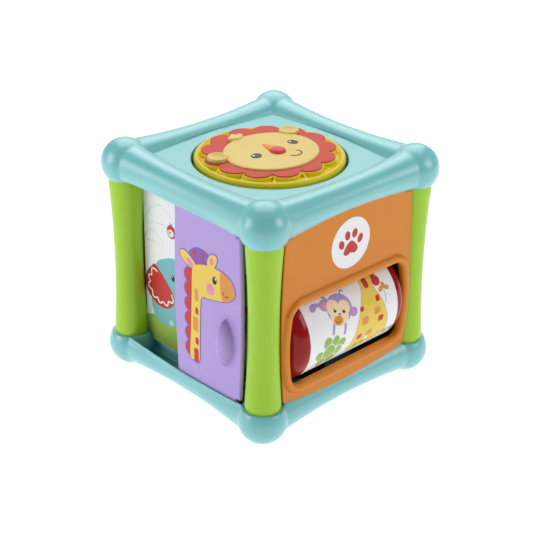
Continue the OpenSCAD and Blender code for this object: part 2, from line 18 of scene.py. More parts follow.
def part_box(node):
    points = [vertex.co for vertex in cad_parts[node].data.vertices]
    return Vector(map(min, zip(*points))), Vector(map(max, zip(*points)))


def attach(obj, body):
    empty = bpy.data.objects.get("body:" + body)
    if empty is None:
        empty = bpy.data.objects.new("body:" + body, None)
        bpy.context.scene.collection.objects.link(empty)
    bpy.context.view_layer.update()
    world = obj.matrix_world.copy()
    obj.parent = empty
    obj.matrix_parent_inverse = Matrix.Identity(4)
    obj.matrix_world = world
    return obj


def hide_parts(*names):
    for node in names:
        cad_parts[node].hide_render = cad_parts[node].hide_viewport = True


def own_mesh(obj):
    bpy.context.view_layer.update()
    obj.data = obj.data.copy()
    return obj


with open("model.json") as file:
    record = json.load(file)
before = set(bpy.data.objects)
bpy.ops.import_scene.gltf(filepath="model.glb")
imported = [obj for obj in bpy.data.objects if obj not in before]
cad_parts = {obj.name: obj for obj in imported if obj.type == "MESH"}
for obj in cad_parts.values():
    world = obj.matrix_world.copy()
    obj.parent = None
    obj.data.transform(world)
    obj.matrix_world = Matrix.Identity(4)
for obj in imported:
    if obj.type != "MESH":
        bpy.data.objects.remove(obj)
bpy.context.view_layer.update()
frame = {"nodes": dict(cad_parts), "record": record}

# ---- sizes, from the frame ----

MM = 0.001


def box_mm(node):
    low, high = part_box(node)
    return np.array(low) / MM, np.array(high) / MM


def middle(node):
    low, high = box_mm(node)
    return (low + high) / 2


# the skeleton
HALF = middle("column_right")[0]                    # from the middle to a column's axis
BALL_R = box_mm("top_frame")[1][0] - HALF
TOP_Z = box_mm("top_frame")[1][2] - BALL_R          # upper ball centres
BALL_Z = TOP_Z - 129.5                              # lower ball centres
MID_Z = (TOP_Z + BALL_Z) / 2
REACH = (TOP_Z - BALL_Z) / 2                        # from the middle to the balls' centres
COLUMN_Z = [box_mm("column_right")[n][2] for n in (0, 1)]
COLUMN_R = box_mm("column_right")[1][0] - HALF      # at a column's ends
COLUMN_FLARE = 2.1
RAIL_R, RAIL_FLARE = 9.5, 4.0
RAIL_SPAN = 52.0                                    # half a rail's clear length
SLOT_HALF = 56.0                                    # half the length of the slot the door runs in
WALL = 2.3
FRAME_STEP, FRAME_KEEP = 0.6, 0.55                  # mesh cell, and the share of faces kept

# the top plate and the floor
PLATE_Z, PLATE_T = TOP_Z + 5, 2.6
GROOVE_AT, GROOVE_BOW = 56.4, 4.6
WELL_R, WELL_FOOT = 49.1, 138.2
FLOOR_Z = [9.0, 11.5]
CELLS_X = middle("battery_cells")[0]
SPEAKER_X = middle("speaker_cone")[0]
SWITCH_AT = (8.0, middle("power_switch")[1])

# the side panels
PANEL_FACE = box_mm("panel_sticker")[0][0]
PANEL_T = 2.5
PANEL_HALF, PANEL_BOW = 56.3, 2.0
TONGUE_HALF = 48.6

# the sliding door, its grip and the picture behind it
DOOR_FACE = -box_mm("door_picture")[1][1]
DOOR_X, DOOR_HALF, DOOR_BOW, DOOR_T = 22.5, 31.0, 1.7, 3.5
DOOR_REACH = REACH - 9.8                            # half the door's height
LIP = DOOR_FACE + 0.3
GRIP_AT, GRIP_TALL, GRIP_WIDE, GRIP_HIGH = (40.0, 61.8), 16.5, 7.0, 6.9
PICTURE_FACE = -box_mm("picture_label")[0][1]

# the roller and its window
DRUM_R = (box_mm("drum_label")[1][2] - box_mm("drum_label")[0][2]) / 2
DRUM_X, DRUM_Z = middle("drum_label")[0], middle("drum_label")[2]
LABEL_HALF = box_mm("drum_tube")[1][1]
CAP_END = box_mm("drum_cap_page_side")[1][1]
CAP_ROUND = 9.6
WINDOW_Z = [34.6, 88.2]
WINDOW_HALF, WINDOW_BOW = 49.8, 2.7
BEAD_W, BEAD_H = 6.2, 2.4

# the lion button
BUTTON_R = box_mm("button_disc")[1][0]
PLUNGER_R, BUTTON_TRAVEL = 6.0, 2.5
DECK_Z = PLATE_Z + 0.8
TIER_Z = box_mm("mane_plate")[0][2]
MANE_Z = box_mm("mane_plate")[1][2]
MANE_COUNT, MANE_TURN = 13, math.radians(2.5)
CROWN_Z = MANE_Z + 2.8
FACE_AT, FACE_RX, FACE_RY = 1.8, 28.8, 31.8
LION_TURN = math.radians(3)
NOSE_TIP, NOSE_RUN = -5.0, 13.0                     # along the face: its tip, and on to its wide end
RIDGE_AT, RIDGE_RUN = 37.0, 6.0                     # the ridges that run out from the mane's notches
DISC_SKIN = 1.8

# the mirror spinner and the leaf page
SPIN_Z = middle("mirror_disc")[2]
COLLAR_R = 23.0
PETAL_TIP = (box_mm("petal_ring")[1][1] - box_mm("petal_ring")[0][1]) / 2
PETAL_H = (0.4, 4.0)                                # the petals' faces, out from the panel
PETALS, DOTS_AT = 8, 28.3
HINGE_AT = middle("hinge_pin")[:2]

# ---- distance fields ----


def round_max(a, b, r):
    """What is inside both, with the outer edge where they meet rounded."""
    return np.minimum(np.maximum(a, b), -r) + np.hypot(np.maximum(a + r, 0), np.maximum(b + r, 0))


def round_min(a, b, r):
    """What is inside either, with a fillet in the corner where they meet."""
    return -round_max(-a, -b, r)


def cut(a, b, r=0.4):
    """What is inside a and not b, with the edge rounded."""
    return round_max(a, -b, r)


def slab(v, low, high):
    return np.maximum(low - v, v - high)


def block(x, y, z, low, high):
    sides = np.maximum(slab(x, low[0], high[0]), slab(y, low[1], high[1]))
    return np.maximum(sides, slab(z, low[2], high[2]))


def soft_rect(u, v, half_u, half_v, r):
    return round_max(np.abs(u) - half_u, np.abs(v) - half_v, r)


# ---- meshes ----

CORNERS = [(i, j, k) for i in (0, 1) for j in (0, 1) for k in (0, 1)]
HALVES = (slice(None, -1), slice(1, None))


def slopes(field, points, h=0.02):
    """A field's slope at each of the points."""
    out = np.empty_like(points)
    for n in range(3):
        ahead, behind = points.copy(), points.copy()
        ahead[:, n] += h
        behind[:, n] -= h
        out[:, n] = (field(*ahead.T) - field(*behind.T)) / (2 * h)
    return out


def surface_of(field, low, high, step):
    """Points and quads of a field's zero surface, with a point in each grid cell that it crosses."""
    lines = [np.arange(low[n] - 2.3 * step, high[n] + 3.3 * step, step) for n in range(3)]
    x, y, z = lines[0][:, None, None], lines[1][None, :, None], lines[2][None, None, :]
    d = np.broadcast_to(field(x, y, z), [len(a) for a in lines])
    inside = d < 0
    count = sum(inside[HALVES[i], HALVES[j], HALVES[k]].astype(np.int8) for i, j, k in CORNERS)
    cells = np.argwhere((count > 0) & (count < 8))
    number = np.full(count.shape, -1, np.int64)
    number[tuple(cells.T)] = np.arange(len(cells))
    value = {c: d[tuple((cells + c).T)] for c in CORNERS}
    total = np.zeros((len(cells), 3))
    hits = np.zeros(len(cells))
    for a in CORNERS:
        for axis in range(3):
            if a[axis] == 0:
                b = a[:axis] + (1,) + a[axis + 1:]
                crossing = (value[a] < 0) != (value[b] < 0)
                t = value[a] / np.where(crossing, value[a] - value[b], 1)
                total += (np.array(a, float) + t[:, None] * np.eye(3)[axis]) * crossing[:, None]
                hits += crossing
    points = np.array([a[0] for a in lines]) + step * (cells + total / hits[:, None])
    quads = []
    for axis in range(3):
        others = [n for n in range(3) if n != axis]
        pick = [[slice(1, -1)] * 3, [slice(1, -1)] * 3]
        pick[0][axis], pick[1][axis] = HALVES
        first, second = inside[tuple(pick[0])], inside[tuple(pick[1])]
        for leaving in (True, False):
            at = np.argwhere(first & ~second if leaving else ~first & second)
            at[:, others] += 1
            ring = []
            for p, q in ((-1, -1), (0, -1), (0, 0), (-1, 0)):
                cell = at.copy()
                cell[:, others[0]] += p
                cell[:, others[1]] += q
                ring.append(number[tuple(cell.T)])
            quads.append(np.stack(ring if leaving != (axis == 1) else ring[::-1], 1))
    for _ in range(4):
        g = slopes(field, points)
        move = (field(*points.T) / np.maximum((g * g).sum(1), 0.2))[:, None] * g
        points -= np.clip(move, -0.35 * step, 0.35 * step)
    return points, np.concatenate(quads)


def new_piece(name, points, faces, inks=(), patches=None, smooth=True):
    """A mesh object from points in millimetres; patches gives each face's number in inks."""
    mesh = bpy.data.meshes.new(name)
    corners = [tuple(p) for p in np.asarray(points, float) * MM]
    mesh.from_pydata(corners, [], [tuple(map(int, f)) for f in faces])
    for material in inks:
        mesh.materials.append(material)
    if patches is not None:
        mesh.polygons.foreach_set("material_index", np.asarray(patches, np.int32))
    mesh.polygons.foreach_set("use_smooth", np.full(len(mesh.polygons), smooth))
    mesh.validate()
    mesh.update()
    piece = bpy.data.objects.new(name, mesh)
    bpy.context.scene.collection.objects.link(piece)
    return piece


def thin_out(piece, keep):
    """Collapses a dense mesh's flat stretches, down to that share of its faces, at a scale of 1:1000."""
    piece.data.transform(Matrix.Scale(1 / MM, 4))
    piece.data.update()
    modifier = piece.modifiers.new("thin_out", "DECIMATE")
    modifier.ratio = keep
    settled = bpy.data.meshes.new_from_object(piece.evaluated_get(bpy.context.evaluated_depsgraph_get()))
    settled.transform(Matrix.Scale(MM, 4))
    piece.modifiers.clear()
    piece.data = settled


def even_shading(piece, field):
    """Shades a thinned mesh by its field's own slope, except along its creases."""
    mesh = piece.data
    count = len(mesh.vertices)
    points, normals = np.empty(count * 3), np.empty(count * 3)
    mesh.vertices.foreach_get("co", points)
    mesh.vertices.foreach_get("normal", normals)
    normals = normals.reshape(-1, 3)
    slope = slopes(field, points.reshape(-1, 3) / MM, 0.12)
    slope /= np.maximum(np.linalg.norm(slope, axis=1), 1e-6)[:, None]
    crease = (slope * normals).sum(1) < 0.94
    slope[crease] = normals[crease]
    mesh.normals_split_custom_set_from_vertices(slope)


def field_piece(name, field, low, high, step, keep=None):
    """A piece from a distance field; keep is the share of its faces that it is thinned to."""
    points, quads = surface_of(field, low, high, step)
    piece = new_piece(name, points, quads)
    if keep:
        thin_out(piece, keep)
    even_shading(piece, field)
    return piece


def settle(piece, crease):
    """Welds doubled points, turns the faces outwards and keeps edges sharper than the crease angle crisp."""
    b = bmesh.new()
    b.from_mesh(piece.data)
    bmesh.ops.remove_doubles(b, verts=b.verts, dist=1e-7)
    bmesh.ops.dissolve_degenerate(b, edges=b.edges, dist=1e-7)
    bmesh.ops.recalc_face_normals(b, faces=b.faces)
    b.to_mesh(piece.data)
    b.free()
    piece.data.set_sharp_from_angle(angle=math.radians(crease))


def upright(x, y, z):
    return x, y, z


def turned_profile(name, profile, place, steps=128, crease=35):
    """Turns a closed outline of (radius, height) points about an axis; place maps (x, y, height) out."""
    n = len(profile)
    angle = np.linspace(0, 2 * np.pi, steps, endpoint=False)
    r, h = np.array(profile).T
    grid = np.stack([np.outer(np.cos(angle), r), np.outer(np.sin(angle), r), np.tile(h, (steps, 1))], -1)
    points = place(*grid.reshape(-1, 3).T)
    faces = []
    for a in range(steps):
        here, there = a * n, (a + 1) % steps * n
        faces += [(here + i, there + i, there + (i + 1) % n, here + (i + 1) % n) for i in range(n)]
    piece = new_piece(name, np.stack(points, -1), faces)
    settle(piece, crease)
    return piece


def soften(corners, steps=6):
    """A closed outline from (x, y, radius) corners, each turned by an arc of that radius."""
    out = []
    for n, (x, y, r) in enumerate(corners):
        p = np.array([x, y], float)
        if not r:
            out.append(p)
            continue
        a = np.array(corners[n - 1][:2]) - p
        b = np.array(corners[(n + 1) % len(corners)][:2]) - p
        a, b = a / np.hypot(*a), b / np.hypot(*b)
        half_angle = math.acos(np.clip(a @ b, -1, 1)) / 2
        reach = r / math.tan(half_angle)
        centre = p + (a + b) / np.hypot(*(a + b)) * r / math.sin(half_angle)
        start, end = p + a * reach - centre, p + b * reach - centre
        first = math.atan2(start[1], start[0])
        turn = (math.atan2(end[1], end[0]) - first + math.pi) % (2 * math.pi) - math.pi
        for k in range(steps + 1):
            t = first + turn * k / steps
            out.append(centre + r * np.array([math.cos(t), math.sin(t)]))
    return out


def grow(outline, d):
    """The outline moved outwards by d; it runs anticlockwise."""
    p = np.array(outline, float)
    along = np.roll(p, -1, 0) - np.roll(p, 1, 0)
    along /= np.maximum(np.hypot(*along.T), 1e-9)[:, None]
    return p + d * np.stack([along[:, 1], -along[:, 0]], 1)


def bevelled(name, outline, low, high, bevel, place, steps=4, crease=40):
    """A flat outline extruded from low to high with rounded edges; place maps (x, y, height) out."""
    rings = []
    for end, sign in ((low, 1), (high, -1)):
        arc = [math.pi / 2 * k / steps for k in range(steps + 1)]
        arc = arc if sign > 0 else arc[::-1]
        rings += [(bevel * (math.sin(a) - 1), end + sign * bevel * (1 - math.cos(a))) for a in arc]
    n = len(outline)
    layers = [np.column_stack([grow(outline, d), np.full(n, h)]) for d, h in rings]
    points = np.stack(place(*np.concatenate(layers).T), -1)
    faces = [(k * n + i, k * n + (i + 1) % n, (k + 1) * n + (i + 1) % n, (k + 1) * n + i)
             for k in range(len(rings) - 1) for i in range(n)]
    faces += [tuple(range(n))[::-1], tuple((len(rings) - 1) * n + i for i in range(n))]
    piece = new_piece(name, points, faces)
    settle(piece, crease)
    return piece


# ---- outlines for printed pictures ----


def bend(a, b, c, d, t):
    """The point at t from b to c on a smooth curve through a, b, c and d."""
    return 0.5 * (2 * b + (c - a) * t + (2 * a - 5 * b + 4 * c - d) * t * t
                  + (3 * b - a - 3 * c + d) * t ** 3)


def loop(points, steps=8):
    """A smooth closed outline through the points."""
    p = np.array(points, float)
    out = []
    for n in range(len(p)):
        corners = [p[(n + k) % len(p)] for k in (-1, 0, 1, 2)]
        out += [bend(*corners, t) for t in np.arange(steps) / steps]
    return anticlockwise(np.array(out))


def anticlockwise(p):
    x, y = p.T
    area = (x * np.roll(y, -1) - np.roll(x, -1) * y).sum()
    return p if area > 0 else p[::-1]


def oval(x, y, rx, ry=None, tilt=0, steps=40):
    t = np.linspace(0, 2 * np.pi, steps, endpoint=False)
    c, s = math.cos(math.radians(tilt)), math.sin(math.radians(tilt))
    u, v = rx * np.cos(t), (ry or rx) * np.sin(t)
    return np.stack([x + c * u - s * v, y + s * u + c * v], 1)


def line(points, width, steps=8):
    """A pen stroke of even width along a smooth line through the points."""
    p = np.array(points, float)
    q = np.concatenate([[2 * p[0] - p[1]], p, [2 * p[-1] - p[-2]]])
    path = []
    for n in range(len(p) - 1):
        last = n == len(p) - 2
        path += [bend(*q[n:n + 4], t) for t in np.arange(steps + last) / steps]
    path = np.array(path)
    along = np.gradient(path, axis=0)
    along /= np.hypot(*along.T)[:, None]
    aside = np.stack([-along[:, 1], along[:, 0]], 1) * width / 2
    ends = []
    for centre, way in ((path[-1], 1), (path[0], -1)):
        first = math.atan2(*(-way * aside[-1 if way > 0 else 0])[::-1])
        ends.append([centre + width / 2 * np.array([math.cos(first + a), math.sin(first + a)])
                     for a in np.linspace(0, math.pi, 7)[1:-1]])
    return anticlockwise(np.concatenate([path - aside, ends[0], (path + aside)[::-1], ends[1]]))


def rect(x0, y0, x1, y1, r=0):
    return anticlockwise(np.array(soften([(x0, y0, r), (x1, y0, r), (x1, y1, r), (x0, y1, r)])))


def moved(outline, dx, dy, size=1):
    return np.array(outline, float) * size + (dx, dy)


def placed(art, dx, dy, size=1):
    """The layers of a drawing, scaled and moved."""
    return [(color, moved(outline, dx, dy, size)) for color, outline in art]


def leaf(x, y, length, width, angle, steps=10):
    """A pointed leaf that grows from (x, y) in that direction."""
    t = np.linspace(0, 1, steps + 1)
    side = width / 2 * np.sin(np.pi * t ** 0.8)
    p = np.concatenate([np.stack([length * t, side], 1), np.stack([length * t, -side], 1)[-2:0:-1]])
    c, s = math.cos(math.radians(angle)), math.sin(math.radians(angle))
    return anticlockwise(np.stack([x + c * p[:, 0] - s * p[:, 1], y + s * p[:, 0] + c * p[:, 1]], 1))


def flower(x, y, r, petal_ink, eye_ink, n=6):
    """n round petals about an eye."""
    art = [(petal_ink, oval(x + r * 0.62 * math.cos(a), y + r * 0.62 * math.sin(a), r * 0.42))
           for a in (2 * math.pi * k / n for k in range(n))]
    return art + [(petal_ink, oval(x, y, r * 0.5)), (eye_ink, oval(x, y, r * 0.32))]


def tuft(x, y, size, ink):
    """Four blades of grass."""
    blades = ((-38, 0.75), (-14, 1), (12, 0.9), (36, 0.7))
    return [(ink, leaf(x, y, size * f, size * 0.32, 90 + lean)) for lean, f in blades]


def lies_in(outline, x, y):
    """Whether each point lies in the outline, by how often the outline winds round it."""
    turns = np.zeros(len(x), int)
    for (x0, y0), (x1, y1) in zip(outline, np.roll(outline, -1, 0)):
        side = (x1 - x0) * (y - y0) - (x - x0) * (y1 - y0)
        turns += (y0 <= y) & (y < y1) & (side > 0)
        turns -= (y1 <= y) & (y < y0) & (side < 0)
    return turns != 0


def printed_skin(name, paper, layers, place, thickness=0.12, strips=()):
    """A printed skin. paper is (ink or None, outline); each layer is (ink, outline), later ones on top.

    place maps (u, v, height) to a world point. strips are values of u where the skin may bend."""
    inks = list(dict.fromkeys(ink for ink, _ in [paper] + layers if ink))
    points, edges = [], []
    for _, outline in [paper] + layers:
        n = len(outline)
        edges += [(len(points) + i, len(points) + (i + 1) % n) for i in range(n)]
        points += [Vector((float(a), float(b))) for a, b in outline]
    low, high = np.min(points, 0)[1], np.max(points, 0)[1]
    for u in strips:
        edges.append((len(points), len(points) + 1))
        points += [Vector((u, low - 1)), Vector((u, high + 1))]
    flat, _, triangles, _, _, _ = geometry.delaunay_2d_cdt(points, edges, [], 0, 1e-4, False)
    u, v = np.array([tuple(p) for p in flat]).T
    triangles = np.array([tuple(t) for t in triangles])
    x, y = u[triangles].mean(1), v[triangles].mean(1)
    top = np.full(len(triangles), -1)
    for ink, outline in [paper] + layers:
        top[lies_in(outline, x, y)] = inks.index(ink) if ink else -1
    shown = (top >= 0) & lies_in(paper[1], x, y)
    kept, patches = [tuple(t) for t in triangles[shown]], list(top[shown])
    n = len(u)
    upper = np.stack(place(u, v, np.full(n, thickness)), -1)
    lower = np.stack(place(u, v, np.zeros(n)), -1)
    sides = {}
    for face in kept:
        for a, b in zip(face, face[1:] + face[:1]):
            sides[(a, b)] = face
    rim = [(a, b) for a, b in sides if (b, a) not in sides]
    faces = kept + [tuple(i + n for i in f[::-1]) for f in kept] + [(b, a, a + n, b + n) for a, b in rim]
    rim_patch = dict(zip(kept, patches))
    patches = patches + patches + [rim_patch[sides[e]] for e in rim]
    piece = new_piece(name, np.concatenate([upper, lower]), faces, inks, patches)
    settle(piece, 30)
    return piece


# ---- materials ----


class Shader:
    """A material being put together: its Principled shader, and short ways to add nodes in front of it."""

    def __init__(self, name, color, roughness, **sockets):
        self.material = bpy.data.materials.new(name)
        self.material.use_nodes = True
        self.material.diffuse_color = (*color, 1)
        self.tree = self.material.node_tree
        self.principled = self.tree.nodes["Principled BSDF"]
        self.set({"Base Color": (*color, 1), "Roughness": roughness})
        self.set({socket.replace("_", " "): value for socket, value in sockets.items()})

    def set(self, values, node=None):
        """Gives each socket its value, or links another node's output to it."""
        inputs = (node or self.principled).inputs
        for socket, value in values.items():
            if isinstance(value, bpy.types.NodeSocket):
                self.tree.links.new(value, inputs[socket])
            else:
                inputs[socket].default_value = value

    def add(self, kind, values):
        node = self.tree.nodes.new("ShaderNode" + kind)
        self.set(values, node)
        return node.outputs

    def noise(self, scale, detail, stretch=(1, 1, 1)):
        """Noise in object space; scale is blotches per metre."""
        where = self.add("TexCoord", {})["Object"]
        mapped = self.add("Mapping", {"Vector": where, "Scale": stretch})["Vector"]
        return self.add("TexNoise", {"Vector": mapped, "Scale": scale, "Detail": detail})["Fac"]

    def spread(self, value, low, high, start=0.3, end=0.7):
        """Maps start..end, the usual span of noise, to low..high."""
        values = {"Value": value, "From Min": start, "From Max": end, "To Min": low, "To Max": high}
        return self.add("MapRange", values)["Result"]

    def bump(self, height, strength, distance):
        bump = self.add("Bump", {"Height": height, "Strength": strength, "Distance": distance})
        self.set({"Normal": bump["Normal"]})


def shade(color, f):
    return (*(min(1.0, c * f) for c in color), 1)


def plastic(name, color, roughness=0.36, grain=0.25, mottle=0.02, **sockets):
    """Moulded plastic: faint flow blotches in its colour and gloss, and a fine spark-eroded grain."""
    look = Shader(name, color, roughness, **sockets)
    flow = look.spread(look.noise(45, 4), 0, 1)
    mix = look.tree.nodes.new("ShaderNodeMix")
    mix.data_type = "RGBA"
    look.set({0: flow, 6: shade(color, 1 - mottle), 7: shade(color, 1 + mottle)}, mix)
    gloss = look.spread(look.noise(160, 5), roughness - 0.015, roughness + 0.02)
    look.set({"Base Color": mix.outputs[2], "Roughness": gloss})
    look.bump(look.noise(1400, 2), grain, 0.00004)
    return look.material


def ink(name, color):
    """Ink printed on a glossy film: a slight mottle and a faint orange peel in the film."""
    return plastic("ink_" + name, color, roughness=0.3, grain=0.12, mottle=0.015, Specular_IOR_Level=0.3)


def metal(name, color, roughness=0.3, stretch=(1, 1, 12)):
    """Metal brushed along Z, or polished where stretch is even."""
    look = Shader(name, color, roughness, Metallic=1.0)
    brushed = look.noise(900, 3, stretch)
    look.set({"Roughness": look.spread(brushed, roughness - 0.08, roughness + 0.12)})
    look.bump(brushed, 0.2, 0.00002)
    return look.material


def nose_paint(tip_x, wide_x):
    """The nose is sprayed from amber at its tip to coral at its wide end."""
    look = Shader("nose_plastic", (0.93, 0.45, 0.25), 0.25, Specular_IOR_Level=0.25)
    along = look.add("SeparateXYZ", {"Vector": look.add("TexCoord", {})["Object"]})["X"]
    ramp = look.tree.nodes.new("ShaderNodeValToRGB")
    look.set({"Fac": look.spread(along, 0, 1, tip_x * MM, wide_x * MM)}, ramp)
    look.set({"Base Color": ramp.outputs["Color"]})
    amber, coral = ramp.color_ramp.elements
    amber.color, amber.position = (0.80, 0.31, 0.04, 1), 0.5
    coral.color, coral.position = (0.68, 0.07, 0.06, 1), 0.68
    return look.material


def srgb(r, g, b):
    """A colour given as it looks on a screen, 0 to 255, as the linear values that shaders take."""
    return tuple((c / 255 / 12.92) if c <= 10 else ((c / 255 + 0.055) / 1.055) ** 2.4 for c in (r, g, b))


AQUA = srgb(122, 200, 204)
MATERIALS = {
    "aqua_plastic": plastic("aqua_plastic", AQUA, 0.32, Coat_Weight=0.8, Coat_Roughness=0.3),
    "lime_plastic": plastic("lime_plastic", srgb(162, 210, 34), 0.3),
    "orange_plastic": plastic("orange_plastic", srgb(218, 132, 34), 0.38, 0.35, Specular_IOR_Level=0.32),
    "purple_plastic": plastic("purple_plastic", srgb(182, 158, 222), 0.3, 0.3, Specular_IOR_Level=0.3),
    "yellow_plastic": plastic("yellow_plastic", srgb(226, 201, 22), 0.3, Specular_IOR_Level=0.35),
    "cream_plastic": plastic("cream_plastic", srgb(224, 198, 110), 0.36, 0.06, 0.005,
                             Specular_IOR_Level=0.32),
    "coral_plastic": plastic("coral_plastic", srgb(202, 72, 52), 0.45, Specular_IOR_Level=0.2),
    "red_plastic": plastic("red_plastic", srgb(154, 4, 10), 0.16, 0.05, 0.02, Specular_IOR_Level=0.3),
    "white_plastic": plastic("white_plastic", srgb(232, 232, 232), 0.35),
    "rubber_pad": plastic("rubber_pad", srgb(120, 122, 126), 0.8, 0.6),
    "steel": metal("steel", (0.62, 0.63, 0.65)),
    "mirror_foil": metal("mirror_foil", (0.88, 0.89, 0.90), 0.09, (1, 1, 1)),
    "circuit_board": plastic("circuit_board", srgb(30, 110, 60), 0.3, 0.4, 0.1),
    "black_plastic": plastic("black_plastic", srgb(34, 34, 36), 0.5, 0.4),
    "speaker_paper": plastic("speaker_paper", srgb(46, 44, 44), 0.9, 0.8, 0.15),
    "cell_wrap": plastic("cell_wrap", srgb(60, 130, 80), 0.25, 0.1),
    "red_wire": plastic("red_wire", srgb(196, 36, 36), 0.45),
    "black_wire": plastic("black_wire", srgb(30, 30, 30), 0.45),
    "nose_plastic": nose_paint(-6, 13),
}

WHITE = ink("white", srgb(241, 242, 244))
PALE = ink("pale_blue", srgb(196, 218, 226))
SKY = ink("sky_blue", srgb(118, 188, 196))
YELLOW = ink("yellow", srgb(234, 204, 84))
ORANGE = ink("orange", srgb(222, 148, 64))
RED = ink("red", srgb(196, 50, 46))
PINK = ink("pink", srgb(228, 142, 176))
VIOLET = ink("violet", srgb(118, 92, 192))
LILAC = ink("lilac", srgb(172, 150, 210))
SKIN = ink("skin", srgb(250, 222, 180))
GREEN = ink("green", srgb(150, 186, 84))
GRASS = ink("grass", srgb(160, 192, 84))
BLUE = ink("blue", srgb(96, 140, 230))
BLACK = ink("black", srgb(30, 27, 32))
GREY = ink("grey", srgb(56, 54, 62))
BROWN = ink("brown", srgb(120, 72, 40))
MATERIALS["printed_label"] = WHITE


def finish_piece(piece, body, slot, *nodes):
    """Puts a piece on its body, in its material, in the place of the CAD nodes."""
    if not piece.data.materials:
        piece.data.materials.append(MATERIALS[slot])
    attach(piece, body)
    if nodes:
        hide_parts(*nodes)


# ---- frames and columns ----


def rail_radius(along):
    """A rail's radius, thinnest in its middle."""
    return RAIL_R + RAIL_FLARE * np.minimum(along / HALF, 1) ** 2


def skeleton(x, y, z, column_end, lip_rise=0.0):
    """Four rails and four corner balls round z = 0, sunk flat where the columns stand on the balls."""
    ax, ay = np.abs(x), np.abs(y)
    along_x = np.maximum(np.hypot(ay - HALF, z) - rail_radius(ax), ax - HALF)
    along_y = np.maximum(np.hypot(ax - HALF, z) - rail_radius(ay), ay - HALF)
    from_column = np.hypot(ax - HALF, ay - HALF)
    ball = np.hypot(from_column, z) - BALL_R
    shape = np.minimum(along_x, along_y)
    lip_top = 7 + lip_rise * (x / RAIL_SPAN) ** 2
    lip = np.maximum(slab(y, -LIP - 1.2, -LIP + 0.6), np.maximum(z - lip_top, -z))
    shape = round_min(shape, np.maximum(lip, ax - SLOT_HALF), 0.8)
    hollow = np.hypot(y + HALF, z) - (rail_radius(ax) - WALL)
    slot = np.maximum(slab(y, -LIP, 3.4 - PICTURE_FACE), -z)
    shape = cut(shape, np.maximum(np.minimum(hollow, slot), ax - SLOT_HALF), 0.4)
    shape = round_min(shape, ball, 0.6)
    mouth_r = math.sqrt(BALL_R ** 2 - column_end ** 2) + 0.15
    seat = np.maximum(from_column - mouth_r, column_end - z)
    return cut(shape, seat, 0.5)


def top_frame_field(x, y, z):
    """The upper frame: a plate between the rails, its groove, and the well that the button sits in."""
    shape = skeleton(x, y, TOP_Z - z, TOP_Z - COLUMN_Z[1])
    short, long = np.minimum(np.abs(x), np.abs(y)), np.maximum(np.abs(x), np.abs(y))
    plate = np.maximum(long - (HALF - 7), slab(z, PLATE_Z - PLATE_T, PLATE_Z))
    r = np.hypot(x, y)
    well = np.maximum(r - WELL_R - 2, slab(z, WELL_FOOT, PLATE_Z - 1))
    shape = round_min(shape, np.minimum(plate, well), 0.9)
    across = long - GROOVE_AT + GROOVE_BOW * (short / RAIL_SPAN) ** 2
    groove = np.hypot(across, z - PLATE_Z - 0.2) - 0.55
    return cut(cut(shape, groove, 0.3), r - WELL_R, 0.9)


def speaker_holes(x, y):
    holes = np.full(np.broadcast(x, y).shape, 99.0)
    for ring_r, count in ((0, 1), (5, 6), (10, 12), (15, 18)):
        for k in range(count):
            a = 2 * math.pi * k / count
            hole = np.hypot(x - SPEAKER_X - ring_r * math.cos(a), y - ring_r * math.sin(a)) - 1.3
            holes = np.minimum(holes, hole)
    return holes


def bottom_frame_field(x, y, z):
    """The lower frame: its floor has the battery bay, the switch's slot and the speaker's holes."""
    shape = skeleton(x, y, z - BALL_Z, COLUMN_Z[0] - BALL_Z, 2.0)
    square = np.maximum(np.abs(x), np.abs(y)) - (HALF - 6.5)
    floor = np.maximum(square, slab(z, *FLOOR_Z))
    rib = block(x, y, z, (-48, 1.4 - LIP, 8.4), (48, 3 - LIP, BALL_Z + 2))
    shape = np.minimum(round_min(shape, floor, 0.8), rib)
    above = FLOOR_Z[1] + 2.5
    battery = np.maximum(soft_rect(x - CELLS_X, y, 17, 26, 1), z - above)
    recess = np.maximum(soft_rect(x - CELLS_X, y + 29, 5, 9, 1), z - 10.4)
    switch = np.maximum(soft_rect(x - SWITCH_AT[0], y - SWITCH_AT[1], 5, 2, 0.6), z - above)
    speaker = np.maximum(speaker_holes(x, y), z - above)
    opening = np.minimum(np.minimum(battery, recess), np.minimum(switch, speaker))
    foot = np.maximum(np.hypot(np.abs(x) - HALF, np.abs(y) - HALF) - 4.4, z - 5.4)
    return cut(cut(shape, opening, 0.35), foot, 0.5)


def frames():
    for node, field in (("top_frame", top_frame_field), ("bottom_frame", bottom_frame_field)):
        low, high = box_mm(node)
        low = np.maximum(low, (-HALF - BALL_R, -HALF - BALL_R, -0.3))
        piece = field_piece(node + "_shell", field, low, high, FRAME_STEP, FRAME_KEEP)
        finish_piece(piece, "cube", "aqua_plastic", node)


def column_radius(t):
    """A column's radius at t, from -1 at its foot to 1 at its top."""
    return COLUMN_R - COLUMN_FLARE + COLUMN_FLARE * t * t


def columns():
    low, high = COLUMN_Z
    mid, reach = (low + high) / 2, (high - low) / 2
    waist = [(column_radius(t), mid + t * reach) for t in np.linspace(-1, 1, 41)]
    outline = [(0.01, low + 0.05), (COLUMN_R - 0.5, low + 0.05)] + waist[1:-1]
    outline += [(COLUMN_R - 0.5, high - 0.05), (0.01, high - 0.05)]
    for node in ("column_front", "column_left", "column_right", "column_back"):
        at_x, at_y, _ = middle(node)
        piece = turned_profile(node + "_tube", outline, lambda x, y, z: (x + at_x, y + at_y, z), 96)
        finish_piece(piece, "cube", "lime_plastic", node)


# ---- side panels ----


